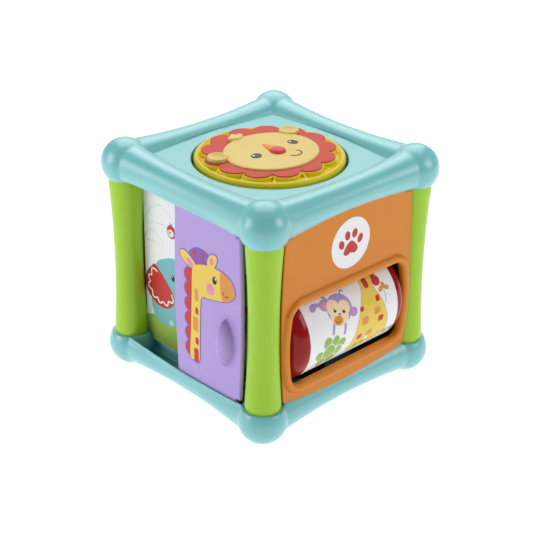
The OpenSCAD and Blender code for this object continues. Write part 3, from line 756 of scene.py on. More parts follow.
def side_plate(u, w, z):
    """A side panel: bowed sides, a tongue into the rails, and clear of the rails, balls and columns."""
    up = np.abs(z - MID_Z)
    bowed = np.abs(u) - (PANEL_HALF - PANEL_BOW * ((z - MID_Z) / (REACH - 11.6)) ** 2)
    rail = np.hypot(w - HALF, up - REACH) - rail_radius(np.abs(u)) - 0.1
    body = np.maximum(np.maximum(bowed, -rail), up - REACH + 4)
    tongue = np.maximum(np.abs(u) - TONGUE_HALF, up - (REACH - 2))
    plate = round_max(np.minimum(body, tongue), slab(w, PANEL_FACE - PANEL_T, PANEL_FACE), 0.5)
    across = np.hypot(np.abs(u) - HALF, w - HALF)
    ball = np.hypot(across, up - REACH) - BALL_R - 0.15
    t = (z - (COLUMN_Z[0] + COLUMN_Z[1]) / 2) / ((COLUMN_Z[1] - COLUMN_Z[0]) / 2)
    column = across - column_radius(t) - 0.45
    return cut(plate, np.minimum(ball, column), 0.3)


def window_distance(u, z):
    """The roller's window, with bowed ends and rounded corners."""
    low, high = WINDOW_Z
    mid, half_z = (low + high) / 2, (high - low) / 2
    t = (z - mid) / half_z
    return round_max(np.abs(u) - (WINDOW_HALF - WINDOW_BOW * t * t), np.abs(z - mid) - half_z, 6)


def roller_panel_field(x, y, z):
    """The orange panel, with a half-round bead round the roller's window."""
    window = window_distance(y, z)
    arc_r = (BEAD_W ** 2 / 4 + BEAD_H ** 2) / (2 * BEAD_H)
    bead = np.hypot(window - BEAD_W / 2, x - (PANEL_FACE + BEAD_H - arc_r)) - arc_r
    bead = np.maximum(bead, PANEL_FACE - 1 - x)
    shape = round_min(side_plate(y, x, z), bead, 0.7)
    return cut(shape, window, 0.6)


def roller_panel():
    low, high = box_mm("roller_panel")
    piece = field_piece("roller_panel_shell", roller_panel_field, low, high, 0.5, 0.5)
    finish_piece(piece, "cube", "orange_plastic", "roller_panel")


def sticker():
    """A round white sticker with a paw print."""
    _, y, z = middle("panel_sticker")
    low, high = box_mm("panel_sticker")
    outline = oval(0, 0, (high[2] - low[2]) / 2, steps=96)
    pad = loop([(0, 1.4), (4.2, -1.4), (6.2, -5.6), (3.4, -7.6),
                (0, -6.6), (-3.4, -7.6), (-6.2, -5.6), (-4.2, -1.4)])
    toes = ((-8, 0.8, 24), (-3.1, 5.6, 8), (3.1, 5.6, -8), (8, 0.8, -24))
    art = [(RED, pad)] + [(RED, oval(u, v, 2.3, 3.1, tilt)) for u, v, tilt in toes]
    piece = printed_skin("paw_sticker", (WHITE, outline), art,
                         lambda u, v, h: (PANEL_FACE + 0.02 + h, y + u, z + v), 0.15)
    finish_piece(piece, "cube", "printed_label", "panel_sticker")


# ---- roller ----


def along_drum(sign):
    """Places a turned cap on the roller's axis, outwards at that end."""
    return lambda x, y, h: (DRUM_X + x, sign * h, DRUM_Z + y)


def roller_caps():
    """Glossy rounded caps: a lip beside the label, a quarter round, and a sunk middle round the axle."""
    end = CAP_END
    outline = soften([
        (2.2, end - 1.4, 0), (2.2, end - 4, 0), (DRUM_R - 4, end - 4, 0), (DRUM_R - 4, LABEL_HALF - 1, 0),
        (DRUM_R - 0.9, LABEL_HALF - 1, 0.2), (DRUM_R - 0.9, LABEL_HALF - 0.25, 0.2),
        (DRUM_R, LABEL_HALF - 0.25, 0.4), (DRUM_R, end, CAP_ROUND), (9, end, 0.8), (7.6, end - 1.4, 0.6)], 12)
    for sign, side in ((-1, "door"), (1, "page")):
        piece = turned_profile(f"roller_cap_{side}_side", outline, along_drum(sign))
        finish_piece(piece, "drum", "red_plastic", f"drum_cap_{side}_side")


def monkey(x, y):
    """A small monkey's head with its arm up, round (x, y)."""
    body = [(LILAC, line([(-6, -5), (-7, -9), (-7.6, -12)], 2)),
            (LILAC, line([(3, -9), (2.6, -12.5), (1.8, -15)], 2)),
            (LILAC, line([(-8, 6), (-13, 8.5), (-17.5, 9.6)], 2.6)), (LILAC, oval(-18, 8.4, 3.2, 2.2, 30)),
            (LILAC, line([(-6, 9), (-8, 13), (-11.6, 16.4)], 2.2)), (VIOLET, oval(-13, 17.2, 3, 1.6, 30)),
            (VIOLET, line([(5.4, 9), (7.2, 11.4), (9, 10.6)], 0.7)),
            (LILAC, oval(-9, 7, 4.2, 3.8)), (PINK, oval(-9, 7, 2.2, 2)),
            (LILAC, oval(11.4, -4, 3.2, 3)), (PINK, oval(11.6, -4, 1.8, 1.7)),
            (LILAC, oval(1, 1.4, 10.2, 9.6, -20)), (SKIN, oval(-3.6, 3.4, 4.9, 5.4, 10)),
            (SKIN, oval(4.2, 0.6, 4.9, 5.2, -30)), (SKIN, oval(-0.6, -3.2, 7.6, 5.6, -18)),
            (ORANGE, oval(-2.2, -5.2, 3.9, 3, -18)), (BLUE, oval(-0.2, -1.8, 1.1, 0.8, -18)),
            (BLACK, oval(-3, 1.4, 1.2)), (BLACK, oval(3.7, -1.2, 1.2)),
            (WHITE, oval(-2.6, 1.9, 0.4)), (WHITE, oval(4.1, -0.7, 0.4)),
            (BROWN, line([(-4.6, -5), (-3, -6.4), (-0.8, -6.2)], 0.45))]
    return placed(body, x, y)


def roller_giraffe(x, y):
    """A giraffe's neck and body, its head over the edge of sight."""
    body = loop([(-5, 26), (0, 29), (5, 27), (3.5, 17), (6.5, 9), (9.5, 0), (12, -10),
                 (10, -19), (-5, -21.5), (-21, -21), (-19, -13), (-15.5, -1), (-11, 10), (-7, 18)])
    art = [(RED, oval(7, 20, 3.4, 3.6)), (RED, oval(6, 26, 3.2, 3.4)),
           (ORANGE, grow(body, 0.35)), (YELLOW, body)]
    spots = ((RED, -3.6, 17.8, 0.4, 26, 1.6), (RED, 2, 7.4, 5.4, 11.4, 1.2),
             (RED, -12.6, 5.4, -9.4, 8.6, 1.2), (ORANGE, -0.8, -0.4, 4.6, 4.2, 1.5),
             (ORANGE, -12, -4, -6.2, 1.2, 1.6), (RED, 2.6, -6.6, 7.4, -2.4, 1.4),
             (ORANGE, -7, -14.6, -1.2, -9.6, 1.6), (RED, -15.2, -14, -10.8, -10, 1.3))
    art += [(color, rect(*corners)) for color, *corners in spots]
    return placed(art + [(WHITE, oval(-6.6, -17, 3.4, 1.8, 40))], x, y)


def bush(lobes):
    """Rounded leaves outlined in white, nearer ones last: each is (x, y, half length, half width, tilt)."""
    art = []
    for x, y, rx, ry, tilt in lobes:
        art += [(WHITE, oval(x, y, rx + 0.5, ry + 0.5, tilt)), (GREEN, oval(x, y, rx, ry, tilt))]
    return art


def roller_scene(y):
    """One picture of the three round the roller; x is along it and y round it."""
    lobes = ((-23.4, -5.4, 3.6, 4.6, 20), (-17, -6.2, 3.2, 4.2, -10), (-11.4, -9.4, 3.4, 3.8, -30),
             (-28.6, -13.2, 3.4, 4.8, 50), (-14.2, -15, 3.6, 5, -40), (-21.4, -13.6, 5.2, 6.6, 0),
             (-26, -20, 3.8, 4, 30), (-17.6, -20.4, 3.8, 4, -30))
    petals = ((26.4, 13.8, 30), (29, 15.6, 90), (31.4, 13.4, -30))
    art = placed(bush(lobes), 0, y) + roller_giraffe(18, y) + monkey(-11.5, y + 12)
    art += [(ORANGE, oval(x, y + up, 2.2, 1.6, tilt)) for x, up, tilt in petals]
    art += [(GREEN, line([(28, y + 4), (28.8, y + 8), (28.6, y + 12.6)], 0.6))]
    for x in (31, 36.5, 4, 10):
        art += tuft(x, y - 21, 5.5, GREEN)
    return art


def roller_label():
    """The printed sleeve, with a picture on every third of the roller."""
    sleeve_r = DRUM_R - 0.05
    half_turn = math.pi * sleeve_r
    half = LABEL_HALF - 0.3
    art = []
    for k in (-1, 0, 1):
        art += roller_scene(k * 2 * half_turn / 3 + 3.0)
    swapped = [(i, anticlockwise(o[:, ::-1])) for i, o in art]
    paper = (WHITE, rect(-half_turn, -half, half_turn, half))

    def place(round_it, along, h):
        a = round_it / sleeve_r
        r = sleeve_r - 0.12 + h
        return DRUM_X + r * np.cos(a), along, DRUM_Z + r * np.sin(a)

    strips = np.linspace(-half_turn, half_turn, 121)[1:-1]
    piece = printed_skin("roller_picture_sleeve", paper, swapped, place, 0.17, strips)
    finish_piece(piece, "drum", "printed_label", "drum_label")


# ---- sliding door and the picture behind it ----


def grip_field(u, v, out):
    """The door's grip: a pointed leaf on end, domed to its full height in the middle."""
    arc_r = (GRIP_TALL ** 2 + GRIP_WIDE ** 2) / (2 * GRIP_WIDE)
    depth = arc_r - np.hypot(np.abs(u) + arc_r - GRIP_WIDE, v)
    height = np.maximum(out, 0) / GRIP_HIGH
    grip = (np.hypot(1 - depth / GRIP_WIDE, height) - 1) * GRIP_HIGH
    return np.maximum(grip, -2 - out)


def door_field(x, y, z):
    out, up = -y - DOOR_FACE, np.abs(z - MID_Z)
    t = (z - MID_Z) / DOOR_REACH
    body = np.maximum(np.abs(x - DOOR_X) - (DOOR_HALF - DOOR_BOW * t * t), up - DOOR_REACH)
    tongue = np.maximum(slab(x, -7.1, TONGUE_HALF), up - (REACH - 2.2))
    plate = round_max(np.minimum(body, tongue), slab(out, -DOOR_T, 0), 1.4)
    return round_min(plate, grip_field(x - GRIP_AT[0], z - GRIP_AT[1], out), 0.8)


def door():
    low, high = box_mm("sliding_door")
    piece = field_piece("sliding_door_shell", door_field, low, high, 0.5, 0.5)
    finish_piece(piece, "door", "purple_plastic", "sliding_door")


def giraffe():
    """The giraffe's head and neck on the door, in the door's x and z."""
    head = loop([(6.1, 38), (10, 36), (14.6, 37), (15.4, 55), (16.4, 76), (18, 83.6), (25, 85.4), (34, 87.4),
                 (41.6, 90.2), (46.8, 94.2), (47.9, 98.8), (45.4, 104), (40, 106.8), (33.4, 107.9),
                 (24, 107.4), (15.5, 105), (10.4, 102), (8.9, 96), (8.3, 80), (7.2, 58)])
    ear = loop([(11.6, 100.4), (5.6, 101), (-0.4, 103.8), (-2.2, 107), (-1, 109.2), (2.6, 110),
                (7.4, 107.6), (12.4, 103.6)])
    far_ear = loop([(23.4, 107.6), (23.8, 112), (26.6, 115.6), (30.6, 116.6), (32, 114), (30.4, 109.4),
                    (28, 107)])
    muzzle = loop([(35.2, 107.6), (34.6, 101), (35, 94.6), (36.8, 88.7), (42, 90.3), (46.7, 94.2),
                   (47.8, 98.8), (45.3, 103.9), (40, 106.7)])
    mane = [oval(7.4, h, 5.6, 5.3) for h in (94.5, 84.6, 74.2, 63.8, 53.4, 43)]
    crest = loop([(5.4, 104), (7.2, 110.4), (11.6, 114.4), (17, 115.6), (23, 114.8), (26, 111), (26.6, 105)])
    horns = [((14.2, 104), (12.8, 108), (11.4, 111.6)), ((20, 106), (19.4, 109.6), (19.4, 113.2))]
    art = [(VIOLET, grow(o, 0.6)) for o in (head, ear, far_ear, crest, *mane)]
    art += [(VIOLET, crest)] + [(RED, o) for o in mane]
    art += [(RED, line(h, 1.8)) for h in horns] + [(RED, oval(*h[-1], 2.0, 1.6)) for h in horns]
    art += [(YELLOW, ear), (PINK, oval(7.4, 103.3, 4.1, 1.9, -33)),
            (YELLOW, far_ear), (PINK, oval(27.2, 111.4, 1.8, 2.7, -18)), (YELLOW, head), (ORANGE, muzzle),
            (PINK, oval(25.9, 92.4, 3.7, 3.9)), (BLACK, oval(29.8, 99.7, 2, 2.7, -10)),
            (WHITE, oval(30.5, 100.9, 0.6, 0.8)),
            (BROWN, line([(37.4, 95), (38.1, 93.1), (40, 92.4), (42, 93.8)], 0.8))]
    spots = ((12.9, 83.4, 1.7, 4.4, ORANGE), (13, 72.2, 1.5, 2.4, RED), (11.7, 62.6, 2.4, 5, ORANGE),
             (12.8, 50.8, 1.6, 2.6, RED), (12, 40.4, 2.2, 5, RED))
    return art + [(color, rect(x - w, z - h, x + w, z + h, 1.3)) for x, z, w, h, color in spots]


def door_print():
    """The giraffe is printed on a film moulded onto the door, so only the animal itself is there."""
    piece = printed_skin("door_giraffe", (None, rect(-8, 25, 53, 130)), giraffe(),
                         lambda u, v, h: (u, -DOOR_FACE - 0.03 - h, v), 0.14)
    finish_piece(piece, "door", "printed_label", "door_picture")


def bird(x, y, size):
    art = [(RED, oval(0, 0, 6, 6.6)), (WHITE, oval(-0.6, -1.6, 3.6, 3.6)),
           (BLUE, leaf(-0.5, 6, 3.4, 1.6, 120)), (BLUE, leaf(0.3, 6, 3, 1.4, 70)),
           (YELLOW, loop([(-6.8, -1.4), (-4, 0.6), (-3.6, -3)])), (BLACK, oval(-1.6, -1, 1, 1.3)),
           (WHITE, oval(-1.3, -0.5, 0.35)), (BLUE, leaf(3.6, -1.2, 6.4, 3.4, -18))]
    return placed(art, x, y, size)


def frill(cusps, bulge):
    """A row of arcs that join the cusps; bulge is each arc's height for its width."""
    path = []
    for a, b in zip(np.array(cusps[:-1]), np.array(cusps[1:])):
        out = np.array([b[1] - a[1], a[0] - b[0]]) * bulge
        path += [a + (b - a) * t + out * 4 * t * (1 - t) for t in (0.02, 0.14, 0.32, 0.5, 0.68, 0.86)]
    return path + [cusps[-1]]


def elephant():
    """A young elephant sitting in the grass behind the door, in x and z."""
    body = loop([(-44.5, 78), (-36, 84.4), (-26, 87.8), (-14, 86.6), (-5, 80), (0, 68), (9, 59), (15, 46),
                 (13, 34), (4, 30), (-8, 34), (-18, 38.4), (-27, 38.2), (-34.9, 35.9), (-41.8, 36.1),
                 (-46.9, 39), (-50.4, 48), (-48, 62)])
    trunk = line([(-8, 60), (-2, 50), (6, 46), (14, 49), (19, 57), (18, 66)], 7.4, 12)
    ear = loop([(-45.2, 76.9), (-49.6, 74), (-54.1, 68.9), (-56.2, 62.5), (-54.8, 56.3), (-50.6, 51.2),
                (-43.9, 47.9), (-35.3, 48.3), (-29.2, 51.9), (-26.7, 56.1), (-27.4, 61.3), (-35.3, 69.4)])
    cusps = [(-43.5, 72.3), (-49.2, 67.8), (-51, 62.7), (-49.1, 56.8), (-43.8, 53.5), (-38.5, 52.4),
             (-33, 54.7), (-29.3, 60.6)]
    return [(SKY, rect(2, 22, 12, 38, 4)), (SKY, rect(-24, 22, -12, 40, 4)), (SKY, body), (SKY, trunk),
            (WHITE, rect(-22, 22.4, -14, 25, 1.2)), (RED, ear), (WHITE, line(frill(cusps, 0.5), 1.1, 2)),
            (BLACK, oval(-27.6, 73.4, 1.7, 2.3)), (WHITE, oval(-28.2, 74.4, 0.5)),
            (PINK, oval(-21, 64, 3.4, 3.2)), (BROWN, line([(-17, 62), (-14, 59), (-11, 60)], 0.6))]


def cloud(x, y, size):
    lobes = [(0, 0, 7), (8, 3, 8.5), (17, 1, 7), (24, -3, 5), (-6, -4, 4.5)]
    art = [(PALE, oval(x + a * size, y + b * size, r * size + 0.45)) for a, b, r in lobes]
    return art + [(WHITE, oval(x + a * size, y + b * size, r * size)) for a, b, r in lobes]


def meadow():
    """The picture that the door uncovers: a meadow with an elephant, a bird, a tree and clouds."""
    hill = [(-56.4, 12), (56.4, 12), (56.4, 34), (40, 38), (22, 35.6), (0, 38.6), (-26, 40.4),
            (-38, 41), (-48, 39.4), (-53, 37.5), (-56.4, 35.9)]
    art = cloud(-45, 112, 0.75) + cloud(4, 120, 0.9) + cloud(-50, 96, 0.45)
    art += [(GRASS, anticlockwise(np.array(hill, float)))]
    art += [(BROWN, line([(39, 30), (38, 52), (39.6, 70)], 5))]
    crown = ((38, 86, 13), (28, 78, 9), (48, 77, 8.4), (32, 97, 9), (45, 96, 8))
    art += [(GREEN, oval(x, z, r)) for x, z, r in crown]
    art += [(RED, oval(x, z, 2.2)) for x, z in ((33, 86), (42, 79), (45, 91), (36, 96), (27, 77))]
    art += elephant() + bird(-28.2, 106, 0.72)
    art += flower(22, 72, 4.6, YELLOW, ORANGE) + [(GREEN, line([(18.6, 64), (20.6, 67), (22, 70)], 0.7))]
    for x, z, r, color in ((-50, 35.6, 1.8, SKY), (-30.5, 39.3, 2.2, PALE), (-2, 25, 2.6, PALE),
                           (24, 27, 3, WHITE), (34, 22, 2.4, PINK), (48, 27, 3, PALE)):
        art += flower(x, z, r, color, YELLOW, 5)
    for x, z in ((16, 30), (42, 30), (52, 20), (-10, 20)):
        art += tuft(x, z, 4.4, GREEN)
    return art


def picture():
    """The printed sheet behind the door."""
    paper = (WHITE, rect(-55.6, 20, 55.6, 140))
    piece = printed_skin("meadow_picture", paper, meadow(), lambda u, v, h: (u, -PICTURE_FACE + 0.14 - h, v))
    finish_piece(piece, "cube", "printed_label", "picture_label")


# ---- lion button ----


def mane_angles(offset=0.0):
    return [MANE_TURN + 2 * math.pi * (k + offset) / MANE_COUNT for k in range(MANE_COUNT)]


def mane_field(x, y, extra):
    """The mane's outline: a disc and a ring of round lobes, all grown by extra."""
    shape = np.hypot(x, y) - 34
    for a in mane_angles():
        lobe = np.hypot(x + 0.7 - 32.2 * math.cos(a), y - 34.1 * math.sin(a)) - 9.6 - extra
        shape = np.minimum(shape, lobe)
    return shape


def lion_axes(x, y):
    """The lion's own axes: it is turned a little in its mane."""
    c, s = math.cos(LION_TURN), math.sin(LION_TURN)
    return x * c + (y + 0.6) * s, (y + 0.6) * c - x * s


def button_field(x, y, z):
    """The yellow disc: a rounded rim round a sunk deck, and the scalloped step under the mane."""
    r = np.hypot(x, y)
    body = round_max(r - BUTTON_R, z - PLATE_Z - 2.4, 2.4)
    body = np.maximum(body, DECK_Z - 9 - z)
    dish = round_max(r - BUTTON_R + 3.0, DECK_Z - z, 2.4)
    body = cut(body, dish, 1.2)
    body = cut(body, np.maximum(r - BUTTON_R + DISC_SKIN, z - PLATE_Z + 0.6), 0.3)
    step = round_max(mane_field(x, y, 0.6), z - TIER_Z, 0.6)
    step = np.maximum(step, DECK_Z - 1 - z)
    ridges = np.full(np.broadcast(x, y).shape, 99.0)
    for a in mane_angles(0.5):
        c, s = math.cos(a), math.sin(a)
        along, aside = x * c + y * s, y * c - x * s
        t = np.clip((along - RIDGE_AT) / RIDGE_RUN, 0, 1)
        level = np.hypot(along - RIDGE_AT - RIDGE_RUN * t, aside)
        ridge = np.hypot(level, z - TIER_Z + 1 + 2.4 * t) - 0.8
        ridges = np.minimum(ridges, ridge)
    return round_min(round_min(body, step, 0.5), ridges, 0.9)


def dome_z(x, y):
    """The height of the face's dome."""
    return CROWN_Z - 1.8 * (((x - FACE_AT) / FACE_RX) ** 2 + (y / FACE_RY) ** 2)


def face_field(x, y, z):
    """The domed face with two dished ears and a tuft of four locks."""
    x, y = lion_axes(x, y)
    near = np.hypot((x - FACE_AT) / FACE_RX, y / FACE_RY)
    shape = round_max((near - 1) * 30, (z - dome_z(x, y)), 1.3)
    ear = np.hypot(x + 12.7, np.abs(y + 0.5) - 32)
    dish = np.hypot(ear, z - (MANE_Z + 2.4 + 6.2)) - 8.1
    ears = cut(round_max(ear - 6.5, z - MANE_Z - 2.4, 0.9), dish, 0.4)
    shape = round_min(shape, ears, 0.3)
    for lx, ly, r in ((-28.2, -5, 2.5), (-30, -1.6, 2.7), (-28.2, 2.2, 2.4), (-26.6, -1.4, 3)):
        lock = round_max(np.hypot(x - lx, y - ly) - r, z - MANE_Z - 2.3, 0.9)
        shape = round_min(shape, lock, 0.35)
    return np.maximum(shape, MANE_Z - z)


def nose_field(x, y, z):
    """A teardrop that widens and rises along the face, rounded over its top."""
    x, y = lion_axes(x, y)
    t = np.clip((x - NOSE_TIP) / NOSE_RUN, 0, 1)
    half_width = 1.3 + 4.1 * t
    off = np.hypot(x - NOSE_TIP - NOSE_RUN * t, y + t)
    inwards = np.clip(1 - off / half_width, 0, 1)
    top = CROWN_Z - 0.3 + (0.7 + 1.9 * t) * np.sqrt(inwards * (2 - inwards))
    return np.maximum(np.maximum(off - half_width, (z - top) * 0.7), CROWN_Z - 1.2 - z)


def scallop_outline(extra):
    """The mane's outline, walked once round by its distance field."""
    out = []
    for a in np.linspace(0, 2 * np.pi, MANE_COUNT * 28, endpoint=False) + MANE_TURN:
        low, high = 20.0, 60.0
        for _ in range(24):
            r = (low + high) / 2
            if mane_field(r * math.cos(a), r * math.sin(a), extra) < 0:
                low = r
            else:
                high = r
        out.append((low * math.cos(a), low * math.sin(a)))
    return np.array(out)


def button_disc():
    """The hollow yellow disc, and the plunger under it that takes the screw."""
    low, high = box_mm("button_disc")
    foot = low[2]
    low[2] = DECK_Z - 9
    disc = field_piece("button_disc_shell", button_field, low, high, 0.5, 0.6)
    finish_piece(disc, "button", "yellow_plastic", "button_disc")
    top, boss_top = PLATE_Z - 0.4, foot + 12
    stem = [(1.4, foot, 0.2), (PLUNGER_R, foot, 0.4), (PLUNGER_R, top, 0),
            (3.6, top, 0), (3.6, boss_top, 0), (1.4, boss_top, 0)]
    plunger = turned_profile("button_plunger", soften(stem), upright, 64)
    finish_piece(plunger, "button", "yellow_plastic")


def lion_head():
    """The mane on its step, the domed face on the mane and the nose on the face."""
    mane = bevelled("lion_mane", scallop_outline(-0.25), TIER_Z - 0.05, MANE_Z, 0.25, upright)
    finish_piece(mane, "button", "coral_plastic", "mane_plate")
    low, high = box_mm("lion_face")
    face = field_piece("lion_face_shell", face_field, low - (3, 2, 0), high + (0, 2, 0), 0.4, 0.6)
    finish_piece(face, "button", "cream_plastic", "lion_face")
    low, high = box_mm("lion_nose")
    nose = field_piece("lion_nose_shell", nose_field, low - (5, 5, 0), high + (5, 5, 1), 0.25)
    finish_piece(nose, "button", "nose_plastic", "lion_nose")


def lion_print():
    """The lion's eyes and smile, printed on the dome of its face."""
    art = []
    for at in (-15.5, 17.1):
        art += [(BLACK, oval(4, at, 3.4, 3.5)), (GREY, oval(4.1, at, 2.1, 2.2)),
                (WHITE, oval(2.6, at - 1.1, 0.8))]
    smile = [(18, 0.3), (20, 2.4), (20.5, 5.2), (19.7, 8.3), (17.4, 9.9), (14.9, 8.9)]
    c, s = math.cos(LION_TURN), math.sin(LION_TURN)
    art += [(BLACK, line(smile, 0.9))]
    piece = printed_skin("lion_eyes_and_smile", (None, rect(-10, -25, 30, 25)), art,
                         lambda u, v, h: (u * c - v * s, u * s + v * c - 0.6, dome_z(u, v) + h),
                         strips=np.arange(-8, 26, 1.5))
    finish_piece(piece, "button", "printed_label")


def switch_dome():
    """The rubber dome under the button's screw, with a mesh of its own."""
    base, top = (corner[2] for corner in box_mm("switch_dome"))
    outline = soften([(0.01, base, 0), (5.5, base, 0.1), (5.5, base + 0.8, 0.4), (3, base + 2.8, 0.9),
                      (3, top, 0.5), (0.01, top, 0)])
    dome = turned_profile("switch_dome_rubber", outline, upright, 48)
    finish_piece(dome, "cube", "rubber_pad", "switch_dome")
    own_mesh(dome)


def button_spring(turns=4, wire=0.6, steps=48, sides=12):
    """The coil that lifts the button, its foot on the housing, with a mesh of its own."""
    low, high = box_mm("button_spring")
    base, top = low[2], high[2]
    angle = np.linspace(0, 2 * np.pi * turns, turns * steps + 1)
    height = np.interp(angle / (2 * np.pi), [0, 0.6, turns - 0.6, turns],
                       [base + wire, base + 1.7 * wire, top - 1.9 * wire, top - 1.3 * wire])
    points = []
    for b in np.linspace(0, 2 * np.pi, sides, endpoint=False):
        r = high[0] - wire + wire * math.cos(b)
        points.append(np.stack([r * np.cos(angle), r * np.sin(angle), height + wire * math.sin(b)], 1))
    n = len(angle)
    faces = []
    for a in range(sides):
        here, there = a * n, (a + 1) % sides * n
        faces += [(here + i, here + i + 1, there + i + 1, there + i) for i in range(n - 1)]
    faces += [tuple(a * n + end for a in range(sides)) for end in (0, n - 1)]
    spring = new_piece("button_spring_coil", np.concatenate(points), faces)
    settle(spring, 50)
    finish_piece(spring, "cube", "steel", "button_spring")
    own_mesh(spring)


# ---- mirror spinner ----


def spinner_place(x, y, h):
    return -PANEL_FACE - h, x, SPIN_Z + y


def mirror_panel_field(x, y, z):
    """The spinner's yellow panel, with the collar the ring turns on and a groove round the petals."""
    out, r = -x - PANEL_FACE, np.hypot(y, z - SPIN_Z)
    collar = np.maximum(slab(r, COLLAR_R - 2, COLLAR_R), slab(out, -1, 4.6))
    groove = np.hypot(r - PETAL_TIP - 3.2, out - 0.4) - 1.1
    return round_min(cut(side_plate(-y, -x, z), groove, 0.3), collar, 0.5)


def page_panel_field(x, y, z):
    """The page's coral panel, with the two knuckles that hold the hinge pin."""
    shape = side_plate(-x, y, z)
    axis = np.hypot(x - HINGE_AT[0], y - HINGE_AT[1])
    for foot in (SPIN_Z - 28, SPIN_Z + 16):
        knuckle = np.maximum(axis - 3, slab(z, foot, foot + 12))
        web = block(x, y, z, (HINGE_AT[0] - 0.2, PANEL_FACE - 1, foot),
                    (HINGE_AT[0] + 3, HINGE_AT[1] - 1, foot + 12))
        shape = round_min(shape, np.minimum(knuckle, web), 0.5)
        shape = np.maximum(shape, -np.maximum(axis - 1.65, slab(z, foot - 1, foot + 13)))
    return shape


def plain_panels():
    for node, field, color in (("mirror_panel", mirror_panel_field, "yellow_plastic"),
                               ("page_panel", page_panel_field, "coral_plastic")):
        low, high = box_mm(node)
        piece = field_piece(node + "_shell", field, low - 0.1, high + 0.1, 0.6, 0.4)
        finish_piece(piece, "cube", color, node)


def petal_ring_field(x, y, z):
    """A ring of round petals, each with a shallow dimple."""
    u, v, h = y, z - SPIN_Z, -PANEL_FACE - x
    sector = 2 * math.pi / PETALS
    a = np.arctan2(v, u)
    b = a - sector * np.round(a / sector)
    r = np.hypot(u, v)
    lobe_r = PETAL_TIP * 0.27
    lobe_at = PETAL_TIP - lobe_r
    px, py = r * np.cos(b) - lobe_at, r * np.sin(b)
    flat = round_min(r - (lobe_at + 2), np.hypot(px, py) - lobe_r, 1.5)
    shape = round_max(flat, slab(h, *PETAL_H), 1.1)
    dimple = np.hypot(np.hypot(px - 0.6, py), h - PETAL_H[1] - 7) - 8.6
    return cut(cut(shape, dimple, 0.4), r - COLLAR_R - 0.06, 0.5)


def petal_ring():
    low, high = box_mm("petal_ring")
    ring = field_piece("petal_ring_shell", petal_ring_field, low, high, 0.5, 0.6)
    finish_piece(ring, "spinner", "purple_plastic", "petal_ring")


def mirror():
    """The mirror and the bezel that holds it on the collar."""
    bezel = soften([(COLLAR_R - 3.8, 3.6, 0.2), (COLLAR_R - 2.2, 3.6, 0.2), (COLLAR_R - 2.2, 4.7, 0),
                    (COLLAR_R + 3, 4.7, 0.5), (COLLAR_R + 3, 6.6, 1.3), (COLLAR_R - 1.0, 6.6, 0.6),
                    (COLLAR_R - 1.0, 5.4, 0), (COLLAR_R - 3.8, 5.4, 0)])
    ring = turned_profile("mirror_bezel_ring", bezel, spinner_place)
    finish_piece(ring, "cube", "aqua_plastic", "mirror_bezel")
    plate = bevelled("mirror_plate", oval(0, 0, COLLAR_R - 1.1, steps=96), 5.4, 6.1, 0.25, spinner_place)
    finish_piece(plate, "cube", "mirror_foil", "mirror_disc")


def spinner_dots():
    """A round dot of colour in each notch between the petals."""
    art = []
    for k in range(PETALS):
        a = 2 * math.pi * (k + 0.5) / PETALS
        color = (YELLOW, RED, SKY, ORANGE)[k % 4]
        art.append((color, oval(DOTS_AT * math.cos(a), DOTS_AT * math.sin(a), 2.6)))
    dots = printed_skin("spinner_dots", (None, oval(0, 0, PETAL_TIP)), art,
                        lambda u, v, h: spinner_place(u, v, PETAL_H[1] + 0.01 + h))
    finish_piece(dots, "spinner", "printed_label")


# ---- leaf page ----


def page_place(u, v, h):
    """On the +Y side as it is seen from outside: u to the right, v up, h outwards."""
    return -u, PANEL_FACE + h, v


def butterfly(x, y):
    def both(color, dx, dy, rx, ry, tilt=0):
        return [(color, oval(x + s * dx, y + dy, rx, ry, s * tilt)) for s in (-1, 1)]

    art = both(ORANGE, 9, 6, 9, 7.4, 24) + both(YELLOW, 9.6, 6.4, 5, 4, 24)
    art += both(PINK, 7, -6, 6.6, 5.6, -30) + both(RED, 7.4, -6.2, 3, 2.6)
    art += [(VIOLET, line([(x, y - 10), (x, y), (x, y + 8)], 3.4)), (VIOLET, oval(x, y + 10.6, 3))]
    art += [(VIOLET, line([(x, y + 12), (x + s * 2, y + 16), (x + s * 5, y + 17.6)], 0.7)) for s in (-1, 1)]
    return art + both(WHITE, 1.1, 11, 0.8, 0.8) + both(BLACK, 1.1, 11, 0.45, 0.45)


def ladybird(x, y):
    def both(color, dx, dy, r):
        return [(color, oval(x + s * dx, y + dy, r)) for s in (-1, 1)]

    art = [(BLACK, oval(x, y + 13, 7.4, 6)), (RED, oval(x, y, 13.6, 15)),
           (BLACK, line([(x, y - 14), (x, y), (x, y + 13.6)], 0.9))]
    art += both(BLACK, 6.4, 6, 2.5) + both(BLACK, 8.4, -2, 2.3) + both(BLACK, 4.6, -8.4, 2.4)
    for s in (-1, 1):
        art += [(BLACK, line([(x + s * 3, y + 17), (x + s * 6, y + 21), (x + s * 9, y + 21.6)], 0.8))]
    return art + both(WHITE, 3, 15, 1.9) + both(BLACK, 2.8, 15, 1)


def leaf_span():
    """The leaf's middle in x, and its half width and half height."""
    low, high = box_mm("page_leaf")
    left, right = low[0], HINGE_AT[0] - 4
    return (left + right) / 2, (right - left) / 2, (high[2] - low[2]) / 2


